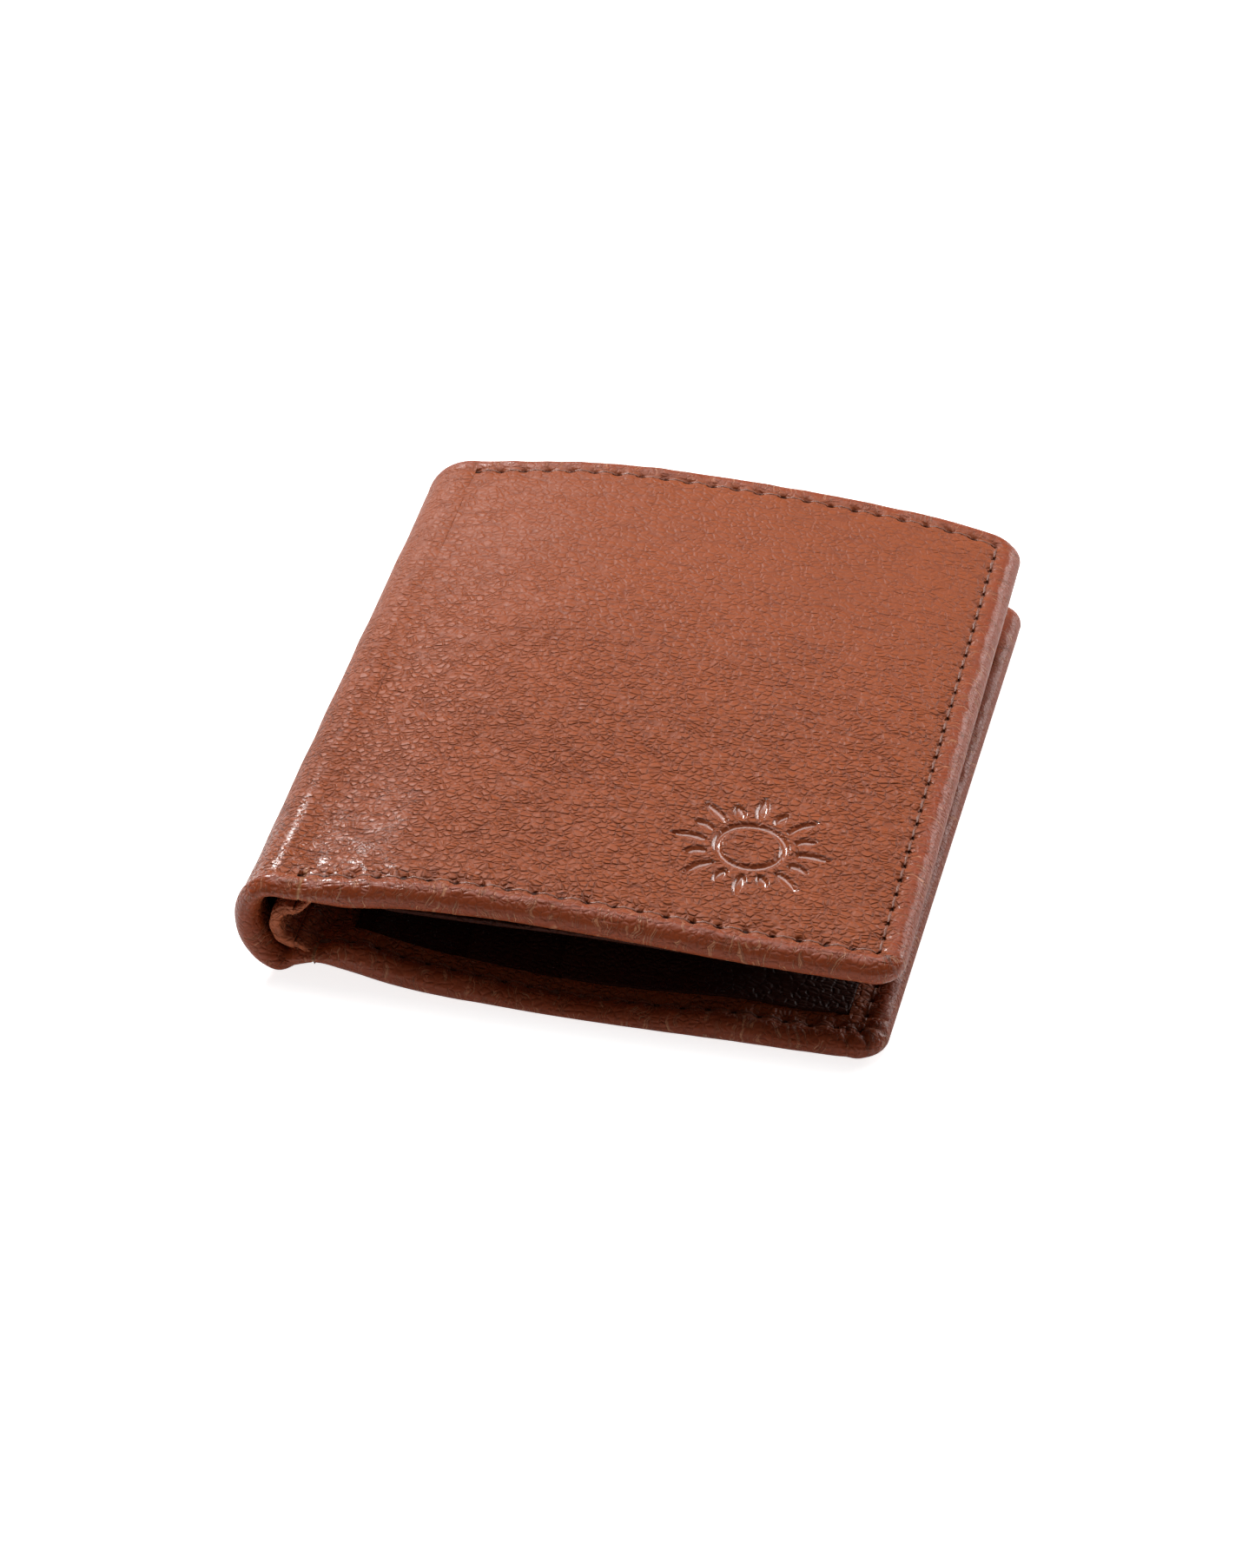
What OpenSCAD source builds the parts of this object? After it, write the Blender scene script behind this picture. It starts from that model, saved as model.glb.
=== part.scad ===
// Leather wallet that folds in three: a back leaf, a padded front leaf and a
// shorter window leaf between them, joined by one rounded spine.
// Millimetres, +Z up. The closed wallet lies on its back leaf, spine at -X,
// free edges at +X, mouth of the note compartment at +Y.

/* [Size] */
// Width of the closed wallet, spine to free edge
closed_w = 84; // [80:1:92]
// Height of the leaves, along the spine
leaf_h = 100; // [96:1:110]
// Outer radius of the rounded spine
spine_r = 7.8; // [7.6:0.1:8.4]
// How far the back leaf stops short of the front leaf's free edge
back_short = 1; // [0:0.5:3]
// Radius of the leaves' free corners
corner_r = 4; // [2:0.5:6]
// Rise of the front leaf's padded face above its edges
crown = 1.9; // [0.6:0.1:2.4]

/* [Layers] */
// Outer leather
leather_t = 1.0; // [0.8:0.1:1.1]
// Stiffener of the back leaf, and the foam's edge on the front leaf
board_t = 0.4; // [0.3:0.1:0.5]
// Woven linings
lining_t = 0.2; // [0.2:0.1:0.3]
// Room for bank notes in each leaf
note_gap = 0.5; // [0.4:0.1:0.6]
// Leather behind the card slots
panel_t = 0.6; // [0.5:0.1:0.7]
// Turned hem
hem_t = 1.0; // [0.9:0.1:1.1]
// Leather of each card slot
slot_t = 0.45; // [0.4:0.05:0.5]
// Doubled leather of the spine
spine_t = 2.6; // [2.4:0.1:2.6]
// Inner leather of the spine
inner_t = 1.2; // [1:0.1:1.2]

/* [Hems and seams] */
// Width of the turned hem inside each leaf
hem_w = 5.5; // [5:0.5:7]
// Width of the hem on the note compartment's mouth
mouth_hem_w = 8; // [6:1:10]
// Distance of the seam from the leaf's edge
seam_in = 3.4; // [3:0.1:4]
// Width of the seam's groove and its thread
thread_w = 0.6; // [0.5:0.1:0.8]
// Depth of the seam's thread
thread_d = 0.3; // [0.2:0.1:0.4]

/* [Card slots] */
// First slot's mouth, from the middle of the spine
first_slot = 8.5; // [8:0.5:12]
// Step from one slot's mouth to the next
slot_step = 12; // [10:1:13]

/* [Window leaf] */
// Distance of the window leaf's ends from the leaves' ends
window_inset = 4.5; // [4:0.5:6]
// Width of the window leaf
window_leaf_w = 64; // [60:1:66]
// Leather frame of each window
frame_t = 0.75; // [0.6:0.05:0.75]
// Clear film
film_t = 0.25; // [0.2:0.05:0.25]
// Border of leather around the windows
frame_w = 7; // [6:0.5:9]

/* [Motion] */
// Gap between pieces that move against each other
move_gap = 0.4; // [0.35:0.05:0.45]

/* [Hidden] */
$fn = 64;

LEATHER = [0.44, 0.17, 0.11];
LINING = [0.16, 0.08, 0.06];
THREAD = [0.22, 0.08, 0.05];

big = 400;
wall = leather_t + 0.2;                       // the rolled edge's leather
spine_x = -closed_w / 2 + spine_r;            // middle of the spine
spine_z = spine_r + 0.2;
front_z = spine_z + spine_r;                  // front leaf's face at its edges
front_right = closed_w / 2;
back_right = front_right - back_short;
mouth_y = leaf_h / 2 - 0.8;                   // inner panels' edge at the mouth

// Layers, counted from each leaf's outer face inwards
board_at = leather_t;
note_lining_at = board_at + board_t;
pocket_lining_at = note_lining_at + lining_t + note_gap;
panel_at = pocket_lining_at + lining_t;
hem_at = panel_at + panel_t;
leaf_t = hem_at + hem_t;

// Spine: four hinge lines on the outer surface share one half turn
HINGES = 4;
hinge_step = 180 / HINGES;
inner_r = spine_r - 4;                        // outer side of the inner leather
turn_end = spine_x + 6.2;                     // where the inner leather joins a leaf

// Window leaf, close under the front leaf
window_t = 2 * frame_t + 3 * film_t;
window_z = front_z - leaf_t - move_gap - 0.1 - window_t;
window_x = turn_end + 1;
window_h = leaf_h - 2 * window_inset;
strip_x = spine_x - inner_r + inner_t + move_gap;

// ---- shared shapes ----

// Flat outline of a leaf with two rounded free corners
module outline(left, right, h = leaf_h, r = corner_r) {
    translate([left, -h / 2]) square([right - r - left, h]);
    translate([right - r, -h / 2 + r]) square([r, h - 2 * r]);
    for (side = [-1, 1]) translate([right - r, side * (h / 2 - r)]) circle(r);
}

// Box given by its low and high corners
module box(low, high) {
    translate(low) cube(high - low);
}

// Profile in X and Z, pushed along the spine from y0 to y1
module along_spine(y0, y1) {
    translate([0, y1, 0]) rotate([90, 0, 0]) linear_extrude(y1 - y0) children();
}

// Turns a layer stack over, so that it counts down from the front leaf's face
module front_side() {
    translate([0, 0, front_z]) mirror([0, 0, 1]) children();
}

// Ring sector between two angles, counted from straight down towards -X
module sector(outer, thick, from, to, from_gap, to_gap) {
    intersection() {
        difference() {
            circle(outer);
            circle(outer - thick);
        }
        rotate(-from) translate([-big - from_gap, -big]) square([big, 2 * big]);
        rotate(-to) translate([to_gap, -big]) square([big, 2 * big]);
    }
}

// One strip of the spine: number 0 is the back leaf's turn, HINGES the front's
module spine_strip(number, outer, thick) {
    from = number == 0 ? 0 : (number - 0.5) * hinge_step;
    to = number == HINGES ? 180 : (number + 0.5) * hinge_step;
    translate([spine_x, spine_z])
        sector(outer, thick, from, to, number == 0 ? 0 : move_gap / 2,
               number == HINGES ? 0 : move_gap / 2);
}

// ---- layers that both leaves share, counted from the outer face ----

// Rolled near and free edges with the hem they end in, open at the mouth
module rolled_rim(right) {
    difference() {
        translate([0, 0, leather_t]) linear_extrude(leaf_t - leather_t)
            outline(turn_end, right);
        box([-big, -leaf_h / 2 + wall, 0], [right - wall, big, hem_at]);
        box([-big, -leaf_h / 2 + hem_w, 0], [right - hem_w, big, big]);
    }
    intersection() {
        box([spine_x, leaf_h / 2 - mouth_hem_w, leather_t],
            [right - wall, leaf_h / 2, pocket_lining_at - note_gap]);
        linear_extrude(big) outline(spine_x, right);
    }
}

// Thin layer inside the rolled edges
module inner_sheet(left, right, y_end, from, thick) {
    box([left, -leaf_h / 2 + wall, from], [right - wall, y_end, from + thick]);
}

// Leather behind the slots, with its own hem along the mouth
module pocket_panel(right) {
    difference() {
        union() {
            inner_sheet(turn_end, right, mouth_y, panel_at, panel_t);
            box([turn_end, mouth_y - hem_w, hem_at], [right - hem_w, mouth_y, leaf_t]);
        }
        seam_run(right, leaf_t - thread_d);
    }
}

// Card slot number n, its mouth towards the spine
module card_slot(right, n) {
    box([spine_x + first_slot + (n - 1) * slot_step, -leaf_h / 2 + hem_w,
         hem_at + (n - 1) * slot_t],
        [right - hem_w, mouth_y - hem_w, hem_at + n * slot_t]);
}

// Seam along the three free edges
module seam_run(right, from, depth = thread_d) {
    reach = leaf_h / 2 - seam_in;
    difference() {
        box([turn_end + 0.5, -reach - thread_w / 2, from],
            [right - seam_in + thread_w / 2, reach + thread_w / 2, from + depth]);
        box([-big, -reach + thread_w / 2, from - 1],
            [right - seam_in - thread_w / 2, reach - thread_w / 2, from + depth + 1]);
    }
}

// ---- back leaf ----

module back_outer_leather() color(LEATHER) difference() {
    union() {
        linear_extrude(leather_t) outline(spine_x, back_right);
        rolled_rim(back_right);
    }
    seam_run(back_right, 0);
    seam_run(back_right, leaf_t - thread_d);
}

module back_stiffener() color(LINING)
    inner_sheet(turn_end, back_right, leaf_h / 2 - mouth_hem_w, board_at, board_t);

module back_note_lining() color(LINING)
    inner_sheet(turn_end, back_right, leaf_h / 2 - mouth_hem_w, note_lining_at, lining_t);

module back_pocket_lining() color(LINING)
    inner_sheet(turn_end, back_right, mouth_y, pocket_lining_at, lining_t);

module back_pocket_panel() color(LEATHER) pocket_panel(back_right);
module back_card_slot_1() color(LEATHER) card_slot(back_right, 1);
module back_card_slot_2() color(LEATHER) card_slot(back_right, 2);
module back_card_slot_3() color(LEATHER) card_slot(back_right, 3);
module back_needle_thread() color(THREAD) seam_run(back_right, 0);
module back_bobbin_thread() color(THREAD) seam_run(back_right, leaf_t - thread_d);

// ---- spine ----

module spine_leather(number) color(LEATHER)
    along_spine(-leaf_h / 2, leaf_h / 2) spine_strip(number, spine_r, spine_t);

module spine_lining(number) color(LEATHER)
    along_spine(-mouth_y, mouth_y) spine_strip(number, inner_r, inner_t);

// Inner leather's flat end, stepped down onto the pocket panel
module lining_tail() {
    along_spine(-mouth_y + hem_w, mouth_y - hem_w - 0.2) {
        translate([spine_x, spine_z - inner_r]) square([turn_end - spine_x, inner_t]);
        translate([turn_end - inner_t, hem_at])
            square([inner_t, spine_z - inner_r - hem_at]);
    }
}

module back_spine_turn() spine_leather(0);
module spine_leather_lower() spine_leather(1);
module spine_leather_middle() spine_leather(2);
module spine_leather_upper() spine_leather(3);
module front_spine_turn() spine_leather(4);

module back_lining_turn() color(LEATHER) {
    spine_lining(0);
    lining_tail();
}
module spine_lining_lower() spine_lining(1);
module spine_lining_middle() spine_lining(2);
module spine_lining_upper() spine_lining(3);
module front_lining_turn() color(LEATHER) {
    spine_lining(4);
    front_side() lining_tail();
}

// ---- front leaf ----

// Height of the padded face above the leaf's edges
function rise(x) = crown * pow(max(0, sin(180 * (x - spine_x) / (front_right - spine_x))), 1.2);

// Places across the leaf where the padded face bends
STEPS = 12;
bend_x = [for (i = [0 : STEPS]) spine_x + (front_right - spine_x) * i / STEPS];

// Everything under the padded face's surface at the given depth, between x0 and
// x1 and down to the height low
module under_face(depth, low, x0, x1) {
    intersection() {
        polygon(concat([[front_right, 0], [spine_x, 0]],
                       [for (x = bend_x) [x, front_z + rise(x) - depth]]));
        translate([x0, low]) square([x1 - x0, big]);
    }
}

// Seam on the padded face, let in by its own depth
module crowned_seam() {
    intersection() {
        along_spine(-leaf_h / 2, leaf_h / 2) difference() {
            under_face(0, front_z - leather_t, -big, big);
            under_face(thread_d, 0, -big, big);
        }
        seam_run(front_right, front_z - leather_t, big);
    }
}

module front_outer_leather() color(LEATHER) difference() {
    intersection() {
        along_spine(-leaf_h / 2, leaf_h / 2)
            under_face(0, front_z - leaf_t, -big, big);
        linear_extrude(big) outline(spine_x, front_right);
    }
    // space under the hide beside the spine, then for the pad, the layers below the
    // mouth's hem and the slots
    along_spine(-big, big) under_face(leather_t, 0, -big, turn_end);
    along_spine(-leaf_h / 2 + wall, leaf_h / 2 - mouth_hem_w)
        under_face(leather_t, front_z - hem_at, -big, front_right - wall);
    front_side() {
        box([-big, -leaf_h / 2 + wall, pocket_lining_at - note_gap],
            [front_right - wall, big, hem_at]);
        box([-big, -leaf_h / 2 + hem_w, hem_at - 0.1], [front_right - hem_w, big, big]);
        seam_run(front_right, leaf_t - thread_d);
    }
    crowned_seam();
}

module front_foam_pad() color([0.75, 0.72, 0.6])
    along_spine(-leaf_h / 2 + wall, leaf_h / 2 - mouth_hem_w)
        under_face(leather_t, front_z - note_lining_at, turn_end, front_right - wall);

module front_note_lining() color(LINING) front_side()
    inner_sheet(turn_end, front_right, leaf_h / 2 - mouth_hem_w, note_lining_at, lining_t);

module front_pocket_lining() color(LINING) front_side()
    inner_sheet(turn_end, front_right, mouth_y, pocket_lining_at, lining_t);

module front_pocket_panel() color(LEATHER) front_side() pocket_panel(front_right);
module front_card_slot_1() color(LEATHER) front_side() card_slot(front_right, 1);
module front_card_slot_2() color(LEATHER) front_side() card_slot(front_right, 2);
module front_needle_thread() color(THREAD) crowned_seam();
module front_bobbin_thread() color(THREAD)
    front_side() seam_run(front_right, leaf_t - thread_d);

// ---- window leaf ----

// One full layer of the window leaf
module window_layer(from, thick) {
    translate([0, 0, window_z + from]) linear_extrude(thick)
        outline(window_x, window_x + window_leaf_w, window_h, 3);
}

// Leather frame with its window cut out
module window_frame(from) {
    difference() {
        window_layer(from, frame_t);
        box([window_x + frame_w, -window_h / 2 + frame_w, 0],
            [window_x + window_leaf_w - frame_w, window_h / 2 - frame_w, big]);
    }
}

// Seam around the window leaf, along the middle of its border
module window_seam() {
    half = window_h / 2 - 2.2;
    right = window_x + window_leaf_w - 2.2;
    top = window_z + window_t;
    difference() {
        box([window_x, -half - thread_w / 2, top - thread_d],
            [right + thread_w / 2, half + thread_w / 2, top]);
        box([window_x + 2.2, -half + thread_w / 2, 0],
            [right - thread_w / 2, half - thread_w / 2, big]);
    }
}

module window_frame_lower() color(LEATHER) window_frame(0);
module window_film_lower() color([0.8, 0.85, 0.88, 0.35]) window_layer(frame_t, film_t);
module window_divider() color(LINING) window_layer(frame_t + film_t, film_t);
module window_film_upper() color([0.8, 0.85, 0.88, 0.35])
    window_layer(frame_t + 2 * film_t, film_t);
module window_frame_upper() color(LEATHER) difference() {
    window_frame(frame_t + 3 * film_t);
    window_seam();
}
module window_thread() color(THREAD) window_seam();

// Leather strip from the spine's middle to the window leaf's edge
module window_hinge_strip() color(LEATHER)
    along_spine(-window_h / 2 + 4, window_h / 2 - 4)
        polygon([[strip_x, spine_z - 0.4], [window_x, window_z + 0.1],
                 [window_x, window_z + 1.1], [strip_x, spine_z + 0.4]]);

back_outer_leather();
back_stiffener();
back_note_lining();
back_pocket_lining();
back_pocket_panel();
back_card_slot_1();
back_card_slot_2();
back_card_slot_3();
back_needle_thread();
back_bobbin_thread();
back_spine_turn();
back_lining_turn();
spine_leather_lower();
spine_leather_middle();
spine_leather_upper();
spine_lining_lower();
spine_lining_middle();
spine_lining_upper();
front_spine_turn();
front_lining_turn();
front_outer_leather();
front_foam_pad();
front_note_lining();
front_pocket_lining();
front_pocket_panel();
front_card_slot_1();
front_card_slot_2();
front_needle_thread();
front_bobbin_thread();
window_frame_upper();
window_frame_lower();
window_film_upper();
window_film_lower();
window_divider();
window_hinge_strip();
window_thread();
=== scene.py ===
"""Trifold wallet in pebbled tan leather: covers, rolled hems, seams, pockets and window leaf."""

import logging
import math
from dataclasses import dataclass, field
from enum import Enum
from typing import Callable

import bpy
import numpy as np
from mathutils import Matrix, Vector


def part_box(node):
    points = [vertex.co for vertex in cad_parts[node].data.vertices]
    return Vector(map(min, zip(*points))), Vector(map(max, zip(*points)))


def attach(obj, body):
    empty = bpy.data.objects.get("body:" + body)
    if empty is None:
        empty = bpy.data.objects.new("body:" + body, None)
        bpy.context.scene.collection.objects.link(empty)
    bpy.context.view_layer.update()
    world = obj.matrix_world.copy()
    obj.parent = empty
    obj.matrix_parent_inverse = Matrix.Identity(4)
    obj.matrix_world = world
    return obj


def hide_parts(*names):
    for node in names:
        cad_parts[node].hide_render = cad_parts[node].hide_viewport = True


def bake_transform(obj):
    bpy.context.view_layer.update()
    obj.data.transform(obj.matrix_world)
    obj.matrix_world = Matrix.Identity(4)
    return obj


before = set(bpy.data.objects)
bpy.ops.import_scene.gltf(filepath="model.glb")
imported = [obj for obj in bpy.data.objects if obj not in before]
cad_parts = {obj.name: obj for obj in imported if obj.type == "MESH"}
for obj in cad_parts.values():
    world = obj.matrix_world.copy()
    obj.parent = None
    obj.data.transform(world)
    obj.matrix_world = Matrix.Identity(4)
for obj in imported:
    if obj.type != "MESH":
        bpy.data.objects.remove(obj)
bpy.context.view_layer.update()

Array = np.ndarray
Place = Callable[[Array, Array, Array], Array]
Knots = tuple[tuple[float, float], ...]

MM = 0.001
log = logging.getLogger("wallet")


class Slot(Enum):
    """The record's material slots."""

    LEATHER = "leather"
    LINING = "lining"
    THREAD = "thread"
    BOARD = "board"
    FOAM = "foam"
    FILM = "film"


class Facing(Enum):
    """Which way the good side of a cover looks when the wallet lies closed."""

    UP = 1
    DOWN = -1


# ---------------------------------------------------------------- shape helpers


def step_smooth(low: float, high: float, value: Array) -> Array:
    """Ease from 0 at low to 1 at high.

    Args:
        low: Where the step starts.
        high: Where the step ends.
        value: The positions to ease.

    Returns:
        Numbers from 0 to 1.
    """
    t = np.clip((np.asarray(value, float) - low) / (high - low), 0.0, 1.0)
    return t * t * (3.0 - 2.0 * t)


def run_through(knots: Knots, at: Array) -> Array:
    """Follow a smooth line through a few (place, height) knots.

    Args:
        knots: The knots, from left to right.
        at: The places to read.

    Returns:
        The height at each place.
    """
    px, py = np.array(knots, float).T
    slope = np.gradient(py, px)
    at = np.clip(np.asarray(at, float), px[0], px[-1])
    i = np.clip(np.searchsorted(px, at, side="right") - 1, 0, len(px) - 2)
    h = px[i + 1] - px[i]
    t = (at - px[i]) / h
    t2, t3 = t * t, t * t * t
    return (
        (2 * t3 - 3 * t2 + 1) * py[i]
        + (t3 - 2 * t2 + t) * h * slope[i]
        + (3 * t2 - 2 * t3) * py[i + 1]
        + (t3 - t2) * h * slope[i + 1]
    )


def ripple(x: Array, y: Array, size: float, seed: int) -> Array:
    """Soft hand-made unevenness, about -1 to 1.

    Args:
        x: Across places in mm.
        y: Along places in mm.
        size: Usual width of a bump in mm.
        seed: Which unevenness.

    Returns:
        The height at each place, without unit.
    """
    rng = np.random.default_rng(seed)
    total = np.zeros(np.broadcast(x, y).shape)
    waves = 14
    for _ in range(waves):
        turn, phase = rng.uniform(0, 2 * np.pi, 2)
        pull = 2 * np.pi / (size * rng.uniform(0.7, 1.6))
        total = total + np.cos((x * np.cos(turn) + y * np.sin(turn)) * pull + phase)
    return total / math.sqrt(waves)


def stack(x: Array, y: Array, z: Array) -> Array:
    """Put three coordinate arrays together as points."""
    return np.stack(np.broadcast_arrays(x, y, z), axis=-1)


SHARP_TURN = math.radians(50)


def new_object(
    name: str,
    points: Array,
    faces: list | Array,
    values: dict[str, Array] | None = None,
) -> bpy.types.Object:
    """Make a smooth-shaded mesh object from points in mm.

    Args:
        name: The piece's name.
        points: (n, 3) points in mm.
        faces: Lists of point numbers.
        values: Named numbers kept on the points for the finishes.

    Returns:
        The new object, linked to the scene.
    """
    mesh = bpy.data.meshes.new(name)
    rows = faces.tolist() if isinstance(faces, np.ndarray) else faces
    mesh.from_pydata((np.asarray(points, float) * MM).tolist(), [], rows)
    for key, numbers in (values or {}).items():
        kept = mesh.attributes.new(key, "FLOAT", "POINT")
        kept.data.foreach_set("value", np.asarray(numbers, np.float32).ravel())
    mesh.validate()
    mesh.polygons.foreach_set("use_smooth", [True] * len(mesh.polygons))
    mesh.set_sharp_from_angle(angle=SHARP_TURN)
    mesh.update()
    obj = bpy.data.objects.new(name, mesh)
    bpy.context.scene.collection.objects.link(obj)
    return obj


def dress(obj: bpy.types.Object, slot: Slot, *materials: bpy.types.Material) -> None:
    """Put materials on a piece.

    Args:
        obj: The piece.
        slot: Not used.
        materials: Finishes in the order of the mesh's material numbers.
    """
    obj.data.materials.clear()
    for material in materials:
        obj.data.materials.append(material)


def settle(obj: bpy.types.Object) -> bpy.types.Object:
    """Turn the piece's modifiers into its mesh, so that the mesh is final.

    Args:
        obj: The piece.

    Returns:
        The same piece.
    """
    graph = bpy.context.evaluated_depsgraph_get()
    mesh = bpy.data.meshes.new_from_object(obj.evaluated_get(graph), depsgraph=graph)
    old = obj.data
    obj.modifiers.clear()
    obj.data = mesh
    bpy.data.meshes.remove(old)
    mesh.name = obj.name
    mesh.set_sharp_from_angle(angle=SHARP_TURN)
    return obj


def quads(numbers: Array, cells: Array | None = None, flip: bool = False) -> Array:
    """List the four-sided faces of a grid of point numbers.

    Args:
        numbers: (n, m) point numbers.
        cells: (n-1, m-1) mask of the cells to keep.
        flip: Turn the faces over.

    Returns:
        (faces, 4) point numbers.
    """
    a, b = numbers[:-1, :-1], numbers[1:, :-1]
    c, d = numbers[1:, 1:], numbers[:-1, 1:]
    face = np.stack([a, d, c, b] if flip else [a, b, c, d], axis=-1)
    return face[cells] if cells is not None else face.reshape(-1, 4)


def rim_quads(top: Array, low: Array, cells: Array) -> Array:
    """List the faces that close a slab between its top and bottom grids.

    Args:
        top: Point numbers of the top.
        low: Point numbers of the bottom.
        cells: Mask of the kept cells.

    Returns:
        (faces, 4) point numbers.
    """
    kept = np.pad(cells, 1)
    out = []
    for axis in (0, 1):
        side = np.diff(kept.astype(int), axis=axis)
        grid = side[:, 1:-1] if axis == 0 else side[1:-1, :]
        for i, j in zip(*np.nonzero(grid)):
            p, q = ((i, j), (i, j + 1)) if axis == 0 else ((i, j), (i + 1, j))
            turn = (grid[i, j] > 0) == (axis == 0)
            p, q = (q, p) if turn else (p, q)
            out.append([top[q], top[p], low[p], low[q]])
    return np.array(out, int)


def round_corners(
    x: Array, y: Array, right: float, half: float, radius: float, left: float | None = None
) -> tuple[Array, Array]:
    """Bend a square grid's corners round, keeping rings of equal inset.

    Args:
        x: Across places in mm.
        y: Along places in mm.
        right: The right edge.
        half: Half of the length.
        radius: Corner radius.
        left: The left edge, where its corners are round as well.

    Returns:
        The bent places.
    """
    x, y = x.copy(), y.copy()
    sides = [(right, 1.0)] + ([(left, -1.0)] if left is not None else [])
    for edge, way in sides:
        for end in (1.0, -1.0):
            a = (x - edge) * way + radius
            b = y * end - half + radius
            inside = (a > 0) & (b > 0)
            a, b = np.maximum(a, 1e-9), np.maximum(b, 1e-9)
            turn = np.where(a >= b, b / a, 2 - a / b) * (np.pi / 4)
            reach = np.maximum(a, b)
            x = np.where(inside, edge + way * (reach * np.cos(turn) - radius), x)
            y = np.where(inside, end * (half - radius + reach * np.sin(turn)), y)
    return x, y


def slab(
    name: str,
    xs: Array,
    ys: Array,
    low: float,
    high: float,
    place: Place,
    corner: float = 0.0,
    hole: tuple[float, float, float, float] | None = None,
    swell: Callable[[Array, Array], Array] | None = None,
) -> bpy.types.Object:
    """Make a thin layer with softened edges that follows the wallet's drape.

    Args:
        name: The piece's name.
        xs: Grid lines across, in mm.
        ys: Grid lines along, in mm.
        low: Bottom height before draping.
        high: Top height before draping.
        place: Gives a point for (x, y, height).
        corner: Radius of all four corners.
        hole: (left, right, near, far) of an opening whose sides lie on grid lines.
        swell: Extra height of the top at (x, y).

    Returns:
        The new object.
    """
    x, y = np.meshgrid(xs, ys, indexing="ij")
    inset = np.minimum.reduce([x - xs[0], xs[-1] - x, y - ys[0], ys[-1] - y])
    if hole:
        off_x = np.maximum(hole[0] - x, x - hole[1])
        off_y = np.maximum(hole[2] - y, y - hole[3])
        inset = np.minimum(inset, np.maximum(off_x, off_y).clip(0))
    half = (high - low) / 2
    part = np.clip(inset / max(half, 0.12), 0, 1)
    bulge = half * (0.35 + 0.65 * np.sqrt(1 - (1 - part) ** 2))
    lift = swell(x, y) if swell else 0.0
    bx, by = x, y
    if corner:
        mid = (xs[0] + xs[-1]) / 2
        run, length = (xs[-1] - xs[0]) / 2, (ys[-1] - ys[0]) / 2
        shift = (ys[-1] + ys[0]) / 2
        bx, by = round_corners(x - mid, y - shift, run, length, corner, -run)
        bx, by = bx + mid, by + shift
    centre = (high + low) / 2
    top = place(bx, by, centre + bulge + lift)
    bottom = place(bx, by, centre - bulge)
    count = x.size
    upper = np.arange(count).reshape(x.shape)
    lower = upper + count
    cells = np.ones((x.shape[0] - 1, x.shape[1] - 1), bool)
    if hole:
        cx, cy = (xs[:-1] + xs[1:]) / 2, (ys[:-1] + ys[1:]) / 2
        gx, gy = np.meshgrid(cx, cy, indexing="ij")
        cells &= ~((gx > hole[0]) & (gx < hole[1]) & (gy > hole[2]) & (gy < hole[3]))
    faces = np.concatenate(
        [quads(upper, cells), quads(lower, cells, flip=True), rim_quads(upper, lower, cells)]
    )
    points = np.concatenate([top.reshape(-1, 3), bottom.reshape(-1, 3)])
    used = np.unique(faces)
    renumber = np.full(len(points), -1)
    renumber[used] = np.arange(len(used))
    return new_object(name, points[used], renumber[faces])


def lines(start: float, end: float, spacing: float, *stops: float) -> Array:
    """Grid lines from start to end, close together at the edges, with a line at each stop.

    Args:
        start: First line.
        end: Last line.
        spacing: Usual distance between lines.
        stops: Places that must have a line.

    Returns:
        The places of the lines.
    """
    marks = sorted({start, end, *stops})
    out = [marks[0]]
    for a, b in zip(marks[:-1], marks[1:]):
        span = b - a
        inner = [v for v in (0.08, 0.2, 0.4) if v * 2.4 < span]
        first, last = [a + v for v in inner], [b - v for v in reversed(inner)]
        begin, stop = (first[-1] if first else a), (last[0] if last else b)
        count = max(1, int(round((stop - begin) / spacing)))
        middle = list(np.linspace(begin, stop, count + 1)[1:-1]) if count > 1 else []
        out += first + middle + last + [b]
    return np.array(out)


# ---------------------------------------------------------------- node groups


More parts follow.
